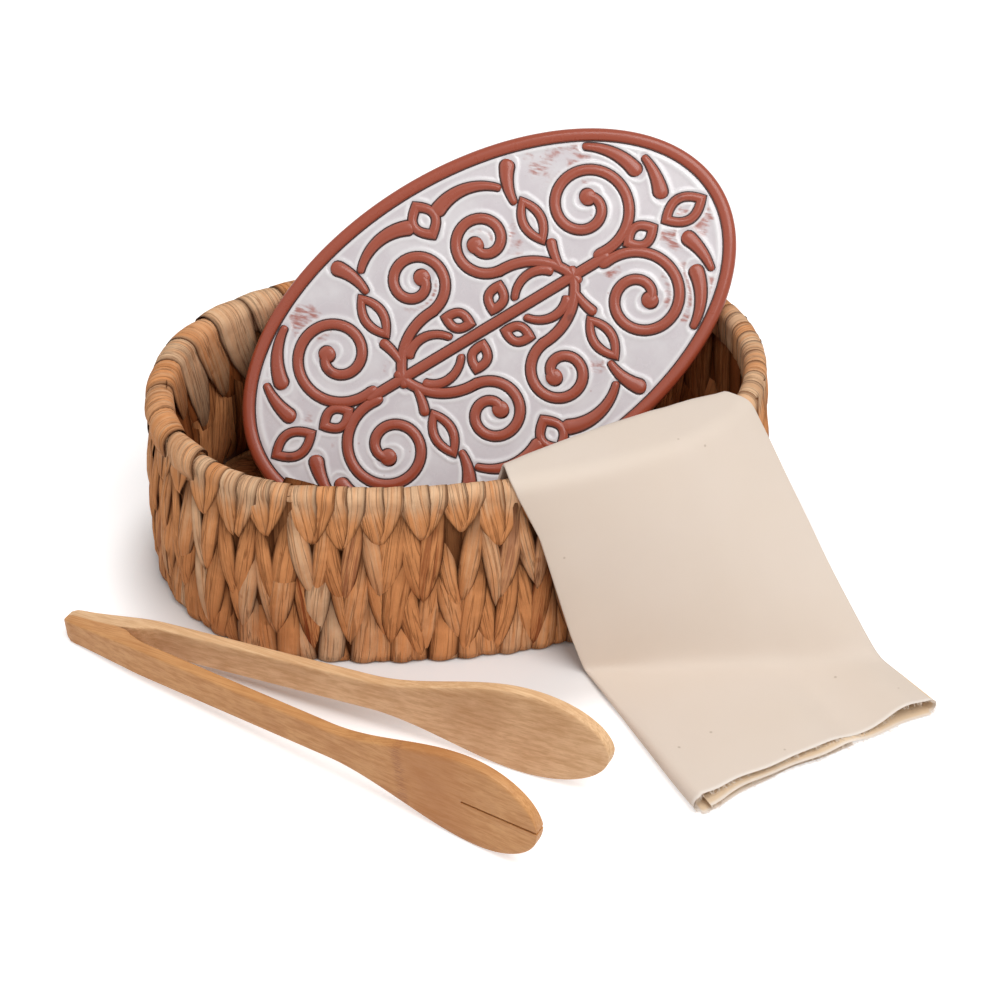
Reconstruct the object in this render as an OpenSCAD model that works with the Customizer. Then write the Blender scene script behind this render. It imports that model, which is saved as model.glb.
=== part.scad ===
// Oval bread warmer basket: a woven basket on a wire frame, a terracotta warming tile, a folded cotton
// cloth and bamboo tongs. Millimetres. The origin is the middle of the basket's underside, +X runs along
// the basket, +Y to the back and +Z up.

/* [Basket] */
// Length over the rim
basket_l = 300; // [280:1:340]
// Width over the rim
basket_w = 196; // [185:1:220]
// Height from the table to the top of the rim
basket_h = 98; // [85:1:110]
// Thickness of the woven wall
wall_t = 10.5; // [10:0.5:14]
// How far each woven course swells outwards
course_bulge = 2.5; // [1:0.25:2.75]
// Thickness of the woven base
base_t = 9; // [7:0.5:14]
// Radius of the bound rim roll
rim_r = 5.2; // [4.5:0.1:5.5]

/* [Wire frame] */
// Diameter of the rim wire
rim_wire_d = 4; // [3:0.25:5]
// Diameter of the base, hoop, upright and cross wires
wire_d = 2.5; // [1.5:0.25:2.75]
// Number of upright wires
upright_n = 12; // [8:4:20]
// Number of wires across the base
cross_n = 5; // [3:2:7]
// Room round each wire in the weave
wire_gap = 0.2; // [0.15:0.05:0.3]

/* [Warming tile] */
// Length of the tile
tile_l = 269; // [260:1:275]
// Width of the tile
tile_w = 165; // [155:1:170]
// Thickness of the tile at its sunk field
tile_t = 9; // [7:0.5:12]
// Width of the raised border
border_w = 6.5; // [4:0.5:9]
// Height of the border and the trailed lines above the field
relief_h = 2.2; // [1.5:0.1:3]
// Width of the trailed lines
line_w = 5; // [3:0.2:5.2]
// Thickness of the white glaze
glaze_t = 0.6; // [0.4:0.1:1]
// Turn of the tile in its own plane
tile_roll = 33.53; // [25:0.01:40]
// Where the tile's left edge leans on the rim, in quarters of the rim from the front right
rest_left = 1.944; // [1.7:0.001:2]
// Where the tile's right edge leans on the rim, in quarters of the rim from the front right
rest_right = 0.608; // [0.55:0.001:0.8]

/* [Cloth] */
// Thickness of the folded cloth over the rim
cloth_t = 3; // [2:0.25:3.25]
// Thickness of the folded cloth at its loose front end
cloth_end_t = 7; // [4:0.5:9]
// Where the cloth's left edge crosses the rim, in quarters of the rim from the front right
cloth_left = 3.522; // [3.3:0.001:3.6]
// Where the cloth's right edge crosses the rim, in quarters of the rim from the front right
cloth_right = 4.245; // [4.1:0.001:4.3]
// How far the cloth hangs down inside the basket
inner_drop = 70; // [40:1:75]

/* [Tongs] */
// Length of the tongs
tong_l = 276; // [250:1:300]
// Thickness of an arm
arm_t = 6; // [5:0.25:8]
// Height of the grip, across the tongs' flat side
grip_h = 17; // [14:0.5:22]
// Height of the paddles
paddle_h = 48; // [38:1:54]
// Width over both arms at the handle's end
root_w = 14; // [13:0.5:20]
// Length of the solid part of the handle
web_l = 34; // [20:1:40]
// Distance from the handle's end to where the arms flex
throat_l = 50; // [44:1:70]
// Angle of each open arm from the middle line
open_a = 5; // [3:0.1:6.2]
// Length of the saw cut in the front paddle
slit_l = 40; // [20:1:50]
// Width of the saw cut
slit_w = 1.2; // [0.8:0.1:2]

/* [Hidden] */
$fn = 64;

// The oval rim is four arcs: two round ends of end_r and two long sides of side_r, tangent where they meet.
half_l = basket_l / 2;
meet = [0.28, 0.96];
arc_step = round((half_l - basket_w / 2) / (meet[0] + meet[1] - 1));
end_x = arc_step * meet[0];
side_y = arc_step * meet[1];
end_r = half_l - end_x;
side_r = end_r + arc_step;
half_w = side_r - side_y;
turn_a = atan2(meet[1], meet[0]);
wedge_r = 1250;
wedge_lap = 0.003;

// The courses stack between the base and the rim roll, with a wire in the seam between each two.
course_n = 4;
wall_top = basket_h - rim_r;
course_h = (wall_top - base_t) / course_n;
bulge_r = (course_h * course_h / 4 + course_bulge * course_bulge) / (2 * course_bulge);
wire_set = 0.75;
wire_off = wire_set - wall_t / 2;
weld_gap = 2 * wire_gap + 0.2;
upright_off = wire_off - wire_d - weld_gap;
roll_off = -wall_t / 2;

// The tile stands on the base and leans on the rim at two points, so its lean follows from its size.
seat_gap = 0.3;
lean_max = 75;
tile_a = tile_l / 2;
tile_b = tile_w / 2;
rest_in = -wall_t - seat_gap;
rest_l = oval_at(rest_left, rest_in);
rest_r = oval_at(rest_right, rest_in);
rest_vec = rest_r - rest_l;
tile_yaw = atan2(rest_vec[1], rest_vec[0]);
tile_reach = norm([tile_a * sin(tile_roll), tile_b * cos(tile_roll)]);
rest_span = min(norm(rest_vec), 1.9998 * tile_a * tile_b / tile_reach);
rest_up = sqrt(tile_reach ^ 2 - (rest_span * tile_reach ^ 2 / (2 * tile_a * tile_b)) ^ 2);
tile_rise = basket_h - base_t - seat_gap;
tile_lean = asin(min(tile_rise / (rest_up + tile_reach), sin(lean_max)));
tile_up = tile_rise / sin(tile_lean) - tile_reach;
tile_side = tile_up * (tile_a ^ 2 - tile_b ^ 2) * sin(tile_roll) * cos(tile_roll) / tile_reach ^ 2;
tile_mid = (rest_l + rest_r) / 2 - tile_side * heading(tile_yaw)
    - tile_up * cos(tile_lean) * heading(tile_yaw + 90);
tile_mid_z = basket_h - tile_up * sin(tile_lean);

// The cloth's path: up from inside, over a fold that runs nearly straight across, out to the rim, round its
// roll, down a ramp to the table and along it.
cloth_gap = 0.9;
cloth_crest_r = rim_r + cloth_gap + cloth_t / 2;
cloth_lean_in = 3;
cloth_fold_r = 2.6;
cloth_bow = 3.9;
cloth_fold = [oval_at(cloth_left, roll_off - 10.2), oval_at(cloth_right, roll_off - 8.6)];
cloth_run = [[31.2, -27.4], [49.7, -88.7]];
cloth_tail = [[31, -97], [14, -36]];
cloth_kink = [oval_at(cloth_left, roll_off) + cloth_run[0], oval_at(cloth_right, roll_off) + cloth_run[1]];
cloth_end = cloth_kink + cloth_tail;
cloth_skew_in = 0.28;
cloth_across = 10;
cloth_steps = [4, 3, 3, 4, 7, 6];

// The tongs lie on edge, on the handle's end and the paddles' lower edges.
tong_at = [-half_l - 49, 49.9 - half_w];
tong_turn = -39.5;
swell_l = 118;
bowl_l = 40;
swell_x = tong_l - swell_l;
bowl_x = tong_l - bowl_l;
arm_tilt = atan2((paddle_h - grip_h) / 2, bowl_x);
knuckle_over = 0.4;
knuckle_r = arm_t / 2 + knuckle_over;
knuckle_gap = 0.2;
pivot = [throat_l, root_w / 2 - arm_t / 2 + throat_l * tan(open_a)];
blade_l = tong_l - throat_l;

function heading(a) = [cos(a), sin(a)];
function mix(a, b, f) = a + (b - a) * f;
function ease(f) = f * f * (3 - 2 * f);

// The angle, centre and radius of the oval at a place t, one quarter for each arc: the right end from
// front to back, the back side, the left end and the front side.
function oval_angle(t) =
    let (i = floor(t) % 4, f = t - floor(t))
    i == 0 ? mix(-turn_a, turn_a, f) :
    i == 1 ? mix(turn_a, 180 - turn_a, f) :
    i == 2 ? mix(180 - turn_a, 180 + turn_a, f) : mix(180 + turn_a, 360 - turn_a, f);
function oval_centre(t) =
    [[end_x, 0], [0, -side_y], [-end_x, 0], [0, side_y]][floor(t) % 4];
function oval_radius(t) = floor(t) % 2 == 0 ? end_r : side_r;
function oval_at(t, off) = oval_centre(t) + (oval_radius(t) + off) * heading(oval_angle(t));

// A flat profile, x outwards from the rim line and y up, carried round the whole oval.
// Each arc is cut from a whole ring by a wedge, and the wedges lap by a hair so that the arcs join.
module oval_sweep() {
    wedge = wedge_r * meet;
    for (t = [0:3]) {
        reach = t % 2 == 0 ? [wedge[0], wedge[1] + wedge_lap] : [wedge[1] - wedge_lap, wedge[0]];
        translate([oval_centre(t)[0], oval_centre(t)[1], 0])
            rotate(t * 90) intersection() {
                rotate_extrude($fn = 180) translate([oval_radius(t), 0]) children();
                linear_extrude(basket_h) polygon([[0, 0], reach, [reach[0], -reach[1]]]);
            }
    }
}

module wire_hoop(z, d) {
    oval_sweep() translate([wire_off, z]) circle(d = d);
}

module wire_channel(z, d) {
    translate([wire_off, z]) circle(d = d + 2 * wire_gap);
}

module upright_rods(z0, z1, d) {
    for (i = [0:upright_n - 1])
        let (p = oval_at((i + 0.5) * 4 / upright_n, upright_off))
            translate([p[0], p[1], z0]) cylinder(d = d, h = z1 - z0, $fn = 24);
}

module base_outline(off) {
    edge_n = 30;
    polygon([for (t = [0:4 * edge_n - 1]) oval_at(t / edge_n, off)]);
}

module cross_rods(d, over) {
    cross_spread = 1.6 * end_x;
    for (i = [0:cross_n - 1]) {
        x = cross_spread * (2 * i / (cross_n - 1) - 1);
        y = cross_reach(abs(x)) + over;
        translate([x, y, base_t / 2]) rotate([90, 0, 0]) cylinder(d = d, h = 2 * y, $fn = 24);
    }
}

// Half the width of the wire oval at a place along the basket.
function cross_reach(x) =
    x < end_x + end_r * cos(turn_a) ? sqrt((side_r + wire_off) ^ 2 - x * x) - side_y :
    sqrt((end_r + wire_off) ^ 2 - (x - end_x) ^ 2);

module base_mat() {
    color("tan") difference() {
        linear_extrude(base_t) base_outline(course_bulge / 2);
        oval_sweep() wire_channel(base_t, wire_d);
        cross_rods(wire_d + 2 * wire_gap, wall_t);
    }
}

module base_wire() {
    color("dimgray") wire_hoop(base_t, wire_d);
}

module cross_wires() {
    color("dimgray") cross_rods(wire_d, 0);
}

module upright_wires() {
    color("dimgray") upright_rods(base_t, wall_top - rim_wire_d / 2 - weld_gap, wire_d);
}

// One ring of the woven wall, swelling outwards, with half of each wire's channel in its two seams.
module weave_course(i) {
    z0 = base_t + (i - 1) * course_h;
    z1 = z0 + course_h;
    top_d = i == course_n ? rim_wire_d : wire_d;
    difference() {
        oval_sweep() difference() {
            union() {
                translate([-wall_t, z0]) square([wall_t, course_h]);
                intersection() {
                    translate([course_bulge - bulge_r, (z0 + z1) / 2]) circle(r = bulge_r, $fn = 96);
                    translate([-wall_t / 2, z0]) square([wall_t, course_h]);
                }
            }
            wire_channel(z0, wire_d);
            wire_channel(z1, top_d);
        }
        upright_rods(z0 - 1, z1 + 1, wire_d + 2 * wire_gap);
    }
}

module weave_course_1() { color("peru") weave_course(1); }
module weave_course_2() { color("burlywood") weave_course(2); }
module weave_course_3() { color("peru") weave_course(3); }
module weave_course_4() { color("burlywood") weave_course(4); }

module hoop_wire(i) {
    color("dimgray") wire_hoop(base_t + i * course_h, wire_d);
}

module rim_wire() {
    color("dimgray") wire_hoop(wall_top, rim_wire_d);
}

// The roll of leaf that is bound over the rim wire, flat where it sits on the top course.
module rim_binding() {
    color("peru") oval_sweep() difference() {
        intersection() {
            translate([roll_off, wall_top]) circle(r = rim_r, $fn = 96);
            translate([roll_off - rim_r, wall_top]) square([2 * rim_r, rim_r]);
        }
        wire_channel(wall_top, rim_wire_d);
    }
}

// An ellipse with its half axes less an inset.
module tile_outline(inset) {
    edge_n = 120;
    polygon([for (i = [0:edge_n - 1])
        [(tile_a - inset) * cos(i * 360 / edge_n), (tile_b - inset) * sin(i * 360 / edge_n)]]);
}

// The points of a trailed line that winds about c from radius r0 to r1 and narrows from w0 to w1, with
// round ends.
function scroll_edge(c, r0, r1, a0, sweep, w0, w1, side) =
    let (n = max(3, ceil(abs(sweep) / 18)))
    [for (i = [0:n]) let (f = i / n)
        c + (mix(r0, r1, f) + side * mix(w0, w1, f) / 2) * heading(a0 + sweep * f)];
function scroll_cap(c, r, a, w, turn) =
    let (m = c + r * heading(a))
    [for (i = [1:3]) m + w / 2 * heading(a + turn * i * 45)];
function reversed(list) = [for (i = [len(list) - 1:-1:0]) list[i]];

module scroll(c, r0, r1, a0, sweep, w0 = line_w, w1 = line_w) {
    way = sign(sweep);
    polygon(concat(
        scroll_edge(c, r0, r1, a0, sweep, w0, w1, 1),
        scroll_cap(c, r1, a0 + sweep, w1, way),
        reversed(scroll_edge(c, r0, r1, a0, sweep, w0, w1, -1)),
        reversed(scroll_cap(c, r0, a0, w0, -way))));
}

// A leaf drawn as a closed line, pointed at both ends.
module leaf(at, a, l, w) {
    leaf_n = 24;
    tip_cut = 2.4 * line_w;
    side_cut = 1.7 * line_w;
    translate(at) rotate(a) difference() {
        leaf_shape(l, w, leaf_n);
        leaf_shape(l - tip_cut, w - side_cut, leaf_n);
    }
}

module leaf_shape(l, w, n) {
    polygon([for (i = [0:n - 1]) let (t = i * 360 / n)
        [l / 2 * cos(t), w / 2 * sin(t) * abs(sin(t))]]);
}

module stem(x0, x1) {
    hull() {
        translate([x0, 0]) circle(d = line_w, $fn = 24);
        translate([x1, 0]) circle(d = line_w, $fn = 24);
    }
}

// A quarter of the scrollwork: two volutes, the lines that follow them and the leaves between. It is
// repeated in mirror image about both axes. It is drawn for a tile of the size below and grows with it.
drawn_l = 269;
drawn_w = 165;
bud_w = line_w * 1.5;
tip_w = line_w * 0.7;
knob_r = line_w * 0.85;

// A line that winds in to a round knob.
module volute(c, r0, r1, a0, sweep) {
    scroll(c, r0, r1, a0, sweep);
    translate(c + r1 * heading(a0 + sweep)) circle(r = knob_r, $fn = 24);
}

module scroll_quarter() {
    volute([72, 26.5], 24.5, 5, -102, 505);
    volute([20, 38], 17, 4.5, -88, -455);
    scroll([20, -10], 31, 31, 14, 78);
    scroll([70, 24], 33, 33, 10, 48, bud_w, tip_w);
    scroll([72, 26.5], 38, 38, -20, 28, bud_w, tip_w);
    scroll([20, 38], 27.5, 27.5, 44, 70, tip_w, bud_w);
    scroll([72, 46], 29, 29, 178, -36, tip_w, bud_w);
    scroll([33, -2], 16, 13, 150, -96, tip_w, line_w);
    scroll([86, 6], 40, 40, 178, -18, tip_w, line_w);
    leaf([46, 34], 86, 27, 13.5);
    leaf([11, 10.5], 44, 18, 12);
}

module scrollwork() {
    scale([tile_l / drawn_l, tile_w / drawn_w])
        for (sx = [0, 1]) {
            for (sy = [0, 1])
                mirror([sx, 0]) mirror([0, sy]) scroll_quarter();
            mirror([sx, 0]) {
                stem(0, 68);
                leaf([113, 0], 0, 26, 16);
                leaf([88, 0], 0, 20, 14);
            }
            mirror([0, sx]) leaf([0, 62], 90, 22, 16);
        }
}

module tile_place() {
    translate([tile_mid[0], tile_mid[1], tile_mid_z])
        rotate([tile_lean, 0, tile_yaw]) rotate(tile_roll) children();
}

module warming_tile() {
    color("sienna") tile_place() {
        linear_extrude(tile_t) tile_outline(0);
        translate([0, 0, tile_t - glaze_t]) linear_extrude(relief_h + glaze_t) difference() {
            tile_outline(0);
            tile_outline(border_w);
        }
        translate([0, 0, tile_t - glaze_t]) linear_extrude(relief_h + glaze_t)
            offset(delta = 0) scrollwork();
    }
}

// The white glaze fills the sunk field round the border and the lines.
module tile_glaze() {
    glaze_gap = 0.05;
    color("white") tile_place() translate([0, 0, tile_t]) linear_extrude(glaze_t) offset(delta = 0)
        difference() {
            tile_outline(border_w + glaze_gap);
            offset(delta = glaze_gap) scrollwork();
        }
}

// The cloth's middle surface at f across from the left edge, and its rows down the path.
function cloth_row(f) =
    let (
        t = mix(cloth_left, cloth_right, f),
        c = oval_at(t, roll_off),
        out = heading(oval_angle(t)),
        along = [-out[1], out[0]],
        kink = mix(cloth_kink[0], cloth_kink[1], f) - c,
        kink_out = kink * out,
        kink_along = kink * along,
        floor_z = cloth_t / 2 + seat_gap,
        drop = wall_top - floor_z,
        leave_a = acos(cloth_crest_r / norm([kink_out, drop])) - atan2(drop, kink_out),
        leave = [cloth_crest_r * cos(leave_a), wall_top + cloth_crest_r * sin(leave_a)],
        end = mix(cloth_end[0], cloth_end[1], f),
        end_z = cloth_end_t / 2 + seat_gap,
        top_z = wall_top + cloth_crest_r,
        chord = unit(cloth_fold[1] - cloth_fold[0]),
        fold = mix(cloth_fold[0], cloth_fold[1], f) + 4 * f * (1 - f) * cloth_bow * [-chord[1], chord[0]] - c,
        into = unit(fold),
        ledge = norm(fold) - cloth_fold_r,
        n = cloth_steps)
    concat(
        [for (i = [0:n[0] - 1]) let (g = 1 - i / n[0])
            cloth_point(c, into, along, norm(fold) + cloth_lean_in * g, top_z - cloth_fold_r - inner_drop * g,
                -cloth_skew_in * inner_drop * g)],
        [for (i = [0:n[1] - 1]) let (a = 90 * (1 - i / n[1]))
            cloth_point(c, into, along, ledge + cloth_fold_r * sin(a), top_z - cloth_fold_r * (1 - cos(a)), 0)],
        [for (i = [0:n[2] - 1]) let (g = i / n[2])
            cloth_point(c, into, along, mix(ledge, 0, g), top_z, 0)],
        [for (i = [0:n[3] - 1]) let (a = mix(90, leave_a, i / n[3]))
            cloth_point(c, out, along, cloth_crest_r * cos(a), wall_top + cloth_crest_r * sin(a), 0)],
        [for (i = [0:n[4] - 1]) let (g = i / n[4])
            cloth_point(c, out, along, mix(leave[0], kink_out, g), mix(leave[1], floor_z, g),
                kink_along * g)],
        [for (i = [0:n[5]]) let (g = i / n[5], p = mix(c + kink, end, g))
            [p[0], p[1], mix(floor_z, end_z, g)]]);
function cloth_point(c, out, along, x, z, slip) =
    let (p = c + x * out + slip * along) [p[0], p[1], z];

function unit(v) = v / norm(v);
function cloth_face(side) =
    let (
        rows = [for (i = [0:cloth_across]) cloth_row(i / cloth_across)],
        m = len(rows[0]) - 1,
        foot = m - cloth_steps[5])
    [for (i = [0:cloth_across]) for (j = [0:m])
        let (
            da = rows[min(i + 1, cloth_across)][j] - rows[max(i - 1, 0)][j],
            db = rows[i][min(j + 1, m)] - rows[i][max(j - 1, 0)],
            thick = j <= foot ? cloth_t : mix(cloth_t, cloth_end_t, (j - foot) / cloth_steps[5]))
        rows[i][j] + side * thick / 2 * unit(cross(da, db))];

// The folded cloth as one closed slab: a grid of points on each face and four rows of edge faces.
module cloth() {
    top = cloth_face(-1);
    under = cloth_face(1);
    rows = cloth_across + 1;
    last = cloth_across;
    cols = len(top) / rows;
    end = cols - 1;
    size = len(top);
    at = function(i, j, s) s * size + i * cols + j;
    split = function(a, b, c, d) [[a, b, c], [a, c, d]];
    faces = concat(
        [for (i = [0:rows - 2]) for (j = [0:cols - 2])
            each split(at(i, j, 0), at(i + 1, j, 0), at(i + 1, j + 1, 0), at(i, j + 1, 0))],
        [for (i = [0:rows - 2]) for (j = [0:cols - 2])
            each split(at(i, j + 1, 1), at(i + 1, j + 1, 1), at(i + 1, j, 1), at(i, j, 1))],
        [for (j = [0:cols - 2])
            each split(at(0, j, 0), at(0, j + 1, 0), at(0, j + 1, 1), at(0, j, 1))],
        [for (j = [0:cols - 2])
            each split(at(last, j, 1), at(last, j + 1, 1), at(last, j + 1, 0), at(last, j, 0))],
        [for (i = [0:rows - 2])
            each split(at(i, 0, 1), at(i + 1, 0, 1), at(i + 1, 0, 0), at(i, 0, 0))],
        [for (i = [0:rows - 2])
            each split(at(i, end, 0), at(i + 1, end, 0), at(i + 1, end, 1), at(i, end, 1))]);
    color("antiquewhite") polyhedron(points = concat(top, under), faces = faces);
}

// Half the height of an arm at a place along the tongs: level, then swelling to the paddle's round end.
function arm_half(x) =
    x < swell_x ? grip_h / 2 :
    x < bowl_x ? mix(grip_h, paddle_h, ease((x - swell_x) / (bowl_x - swell_x))) / 2 :
    paddle_h / 2 * sqrt(max(0, 1 - ((x - bowl_x) / (tong_l - bowl_x)) ^ 2));
swell_n = 8;
bowl_n = 10;
arm_edge = concat(
    [[throat_l, arm_half(throat_l)]],
    [for (i = [0:swell_n]) let (x = mix(swell_x, bowl_x, i / swell_n)) [x, arm_half(x)]],
    [for (i = [1:bowl_n]) let (x = bowl_x + (tong_l - bowl_x) * sin(90 * i / bowl_n)) [x, arm_half(x)]]);
arm_lift = max(concat([grip_h / 2], [for (p = arm_edge) p[1] * cos(arm_tilt) - p[0] * sin(arm_tilt)]));

module tong_place() {
    translate([tong_at[0], tong_at[1], arm_lift]) rotate(tong_turn) rotate([0, -arm_tilt, 0]) children();
}

// An arm from its flex line on, with a round knuckle that turns in the handle's hollow.
module arm_blade(side) {
    outline = concat(arm_edge, [for (p = reversed(arm_edge)) if (p[1] > 0.001) [p[0], -p[1]]]);
    translate([pivot[0], side * pivot[1], 0]) rotate(side * open_a) {
        rotate([90, 0, 0]) linear_extrude(arm_t, center = true) translate([-throat_l, 0]) polygon(outline);
        cylinder(r = knuckle_r, h = grip_h, center = true, $fn = 48);
    }
}

module tong_arm_front() {
    color("burlywood") tong_place() difference() {
        arm_blade(-1);
        translate([pivot[0], -pivot[1], 0]) rotate(-open_a)
            translate([blade_l - slit_l / 2 + 1, 0, 0])
                cube([slit_l + 2, 2 * arm_t, slit_w], center = true);
    }
}

module tong_arm_back() {
    color("burlywood") tong_place() arm_blade(1);
}

// The solid handle: two roots that lie along the arms, joined by a web, hollowed where the arms turn.
module tong_handle() {
    root = function(s, e) [0, root_w / 2 - arm_t / 2] + s * heading(open_a) + e * heading(open_a + 90);
    root_l = throat_l / cos(open_a);
    upper = [root(0, arm_t / 2), root(root_l, arm_t / 2), root(root_l, -arm_t / 2),
        root(web_l / cos(open_a), -arm_t / 2)];
    color("burlywood") tong_place() difference() {
        linear_extrude(grip_h, center = true)
            polygon(concat(upper, [for (p = reversed(upper)) [p[0], -p[1]]]));
        for (side = [-1, 1])
            translate([pivot[0], side * pivot[1], 0])
                cylinder(r = knuckle_r + knuckle_gap, h = 2 * grip_h, center = true, $fn = 48);
    }
}

base_mat();
base_wire();
cross_wires();
upright_wires();
weave_course_1();
weave_course_2();
weave_course_3();
weave_course_4();
hoop_wire(1);  // hoop_wire_1
hoop_wire(2);  // hoop_wire_2
hoop_wire(3);  // hoop_wire_3
rim_wire();
rim_binding();
warming_tile();
tile_glaze();
cloth();
tong_handle();
tong_arm_front();
tong_arm_back();
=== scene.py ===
"""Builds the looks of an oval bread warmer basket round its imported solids. Lengths are in metres."""

import math

import bpy
import numpy as np
from bpy.props import FloatProperty, FloatVectorProperty, IntProperty, PointerProperty
from mathutils import Matrix, Vector


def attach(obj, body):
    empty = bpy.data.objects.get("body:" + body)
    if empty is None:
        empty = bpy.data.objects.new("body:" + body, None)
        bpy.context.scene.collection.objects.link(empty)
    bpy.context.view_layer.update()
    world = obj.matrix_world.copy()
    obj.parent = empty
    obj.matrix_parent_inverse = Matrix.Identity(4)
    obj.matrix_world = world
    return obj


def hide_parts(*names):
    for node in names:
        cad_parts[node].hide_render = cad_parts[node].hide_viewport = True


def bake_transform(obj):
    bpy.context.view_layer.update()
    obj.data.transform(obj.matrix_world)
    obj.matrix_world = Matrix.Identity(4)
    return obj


bl_info = {
    "name": "Bread Warmer Basket",
    "version": (1, 0, 0),
    "blender": (4, 5, 0),
    "location": "View3D > Sidebar > Basket",
    "description": "Dresses the solids of an oval woven basket, its warming tile, cloth and tongs",
    "category": "Add Mesh",
}

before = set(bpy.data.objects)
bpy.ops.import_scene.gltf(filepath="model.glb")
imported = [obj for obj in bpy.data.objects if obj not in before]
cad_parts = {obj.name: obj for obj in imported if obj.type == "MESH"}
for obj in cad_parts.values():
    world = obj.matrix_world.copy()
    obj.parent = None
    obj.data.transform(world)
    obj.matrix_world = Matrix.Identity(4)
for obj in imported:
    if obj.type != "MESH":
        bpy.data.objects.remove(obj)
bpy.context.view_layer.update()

# The rim oval: two round ends and two long sides, tangent where they meet
MM = 0.001
HALF_LENGTH = 0.150
ARC_STEP = 0.217
MEET = (0.28, 0.96)
END_X = ARC_STEP * MEET[0]
SIDE_Y = ARC_STEP * MEET[1]
END_R = HALF_LENGTH - END_X
SIDE_R = END_R + ARC_STEP
TURN = math.atan2(MEET[1], MEET[0])
ARC_ANGLES = np.array([0, TURN, math.pi - TURN, math.pi + TURN, 2 * math.pi - TURN, 2 * math.pi])
ARC_RADII = np.array([END_R, SIDE_R, END_R, SIDE_R, END_R])
ARC_ENDS = np.concatenate([[0], np.cumsum(np.diff(ARC_ANGLES) * ARC_RADII)])
RIM_LENGTH = ARC_ENDS[-1]

# Heights and depths of the woven wall, as in the solids
BASKET_H = 0.098
WALL_T = 0.0105
BASE_T = 0.009
ROLL_R = 0.0052
ROLL_OFF = -WALL_T / 2
WALL_TOP = BASKET_H - ROLL_R

# The section of the wall's hidden core, as depths and heights in millimetres, and its steps round the rim
CORE_SECTION = ((-0.8, 1.5), (-0.5, 30), (-0.8, 60), (-1.6, 91), (-7.8, 91), (-8.2, 60), (-8.2, 30),
                (-8.2, 8.6))
CORE_STEPS = 160

# The wires that keep their solids, and the width of a strip of the plaited base
WIRE_NODES = ("base_wire", "cross_wires", "upright_wires", "hoop_wire_1", "hoop_wire_2", "hoop_wire_3",
              "rim_wire")
PLAIT_W = 0.016

# The leaf rows: heights, lengths and places, and for the lining also the lean and how far a row is sunk
BRAID_ROWS = ((0.092, 0.056), (0.067, 0.061))
LINING_ROWS = ((0.088, 0.078, 0.003, 0.0008), (0.090, 0.050, -0.010, 0.0), (0.062, 0.053, 0.009, 0.0))
UNDER_TOP = 0.093
FOOT_TOP = 0.040
FOOT_CLEAR = 0.0009
LEAF_REACH = 0.49
LEAF_LAYER = 0.0005
WRAP_SPAN = (0.06, 0.555)
WRAP_PITCH = 0.0225

# Each row's middle tone, the spread of its tones and its share of stained leaves
BRAID_TONES = (0.63, 0.17, 0.16)
# The under row's low tone is painted shade behind the braid
UNDER_TONES = (0.35, 0.10, 0.0)
FOOT_TONES = (0.62, 0.15, 0.07)
# The lining's low tone is painted shade inside the basket
INNER_TONES = (0.20, 0.18, 0.06)
# The rim row's pale tone is a painted highlight on the crest of the rim, and falls towards the tips by the
# share below
RIM_TONES = (0.95, 0.10, 0.02)
WRAP_TONES = (0.84, 0.15, 0.05)
RIM_HIGHLIGHT_FALL = 0.32

# How far painted shade darkens a leaf's edges, where it meets its neighbours, and the power by which that
# grows from its middle
SOFT_EDGE = (0.97, 4)
CRISP_EDGE = (1.0, 6)
RIM_EDGE = (0.8, 6)
WRAP_EDGE = (0.95, 10)

# Curves along a leaf, as shares of its length and values there: how far it lies open to the light
BRAID_OPEN = ((0, 0.22, 0.4, 0.9, 1), (0.2, 0.6, 1, 1, 0.5))
# The under row is painted in shade along all its length
UNDER_OPEN = ((0, 1), (0.26, 0.26))
FOOT_OPEN = ((0, 0.3, 0.5, 0.85, 1), (0.2, 0.7, 1, 0.9, 0.3))
INNER_OPEN = ((0, 0.15, 0.85, 1), (0.4, 1, 0.9, 0.4))
RIM_OPEN = ((0, 0.1, 0.92, 1), (0.6, 1, 1, 0.6))
WRAP_OPEN = ((0, 0.12, 0.35, 0.5, 0.9, 1), (0.25, 0.5, 0.68, 1, 1, 0.5))

# Curves of a leaf's width, as shares of its full width
FOOT_TAPER = ((0, 0.3, 0.6, 1), (0.3, 0.75, 1, 0.95))
INNER_TAPER = ((0, 0.2, 0.7, 1), (0.8, 1, 1, 0.7))
RIM_TAPER = ((0, 0.2, 0.56, 0.78, 1), (0.7, 1, 1, 0.66, 0.07))
WRAP_TAPER = ((0, 0.3, 0.55, 0.9, 1), (0.35, 0.8, 1, 1, 0.6))

# Curves of a leaf's height over the wall
BRAID_LIFT = ((0, 0.25, 0.5, 0.7, 0.87, 1), (-0.0026, -0.0012, 0.0006, 0.0015, 0.0014, 0.0002))
FOOT_LIFT = ((0, 0.3, 0.6, 0.85, 1), (-0.0026, -0.0012, 0.0004, 0.0008, -0.0008))
INNER_LIFT = ((0, 0.4, 0.8, 1), (-0.001, 0.0004, 0.0006, -0.0012))
RIM_LIFT = ((0, 0.3, 0.6, 0.8, 0.93, 1), (0.0, 0.0001, 0.0004, 0.0020, 0.0022, 0.0004))
WRAP_LIFT = ((0, 0.2, 0.6, 0.9, 1), (-0.0005, 0.0004, 0.0002, 0.0006, -0.0012))

# Scales of the fibre patterns across and along, for each millimetre, and from strip to strip
STREAK_STRETCH = (0.55, 0.030, 1.0)
SPLIT_STRETCH = (0.42, 0.016, 1.0)
RIB_STRETCH = (0.95, 0.035, 1.0)

# The tile's size and its lean against the rim, as in the solids
TILE_A = 0.1345
TILE_B = 0.0825
TILE_FIELD_Z = 0.009
TILE_TOP_Z = 0.0112
TILE_BORDER = 0.0065
TILE_MID = Vector((0.022467, 0.043188, 0.087598))
TILE_LEAN = math.radians(50.6606)
TILE_YAW = math.radians(-15.0079)
TILE_ROLL = math.radians(33.53)
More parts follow.
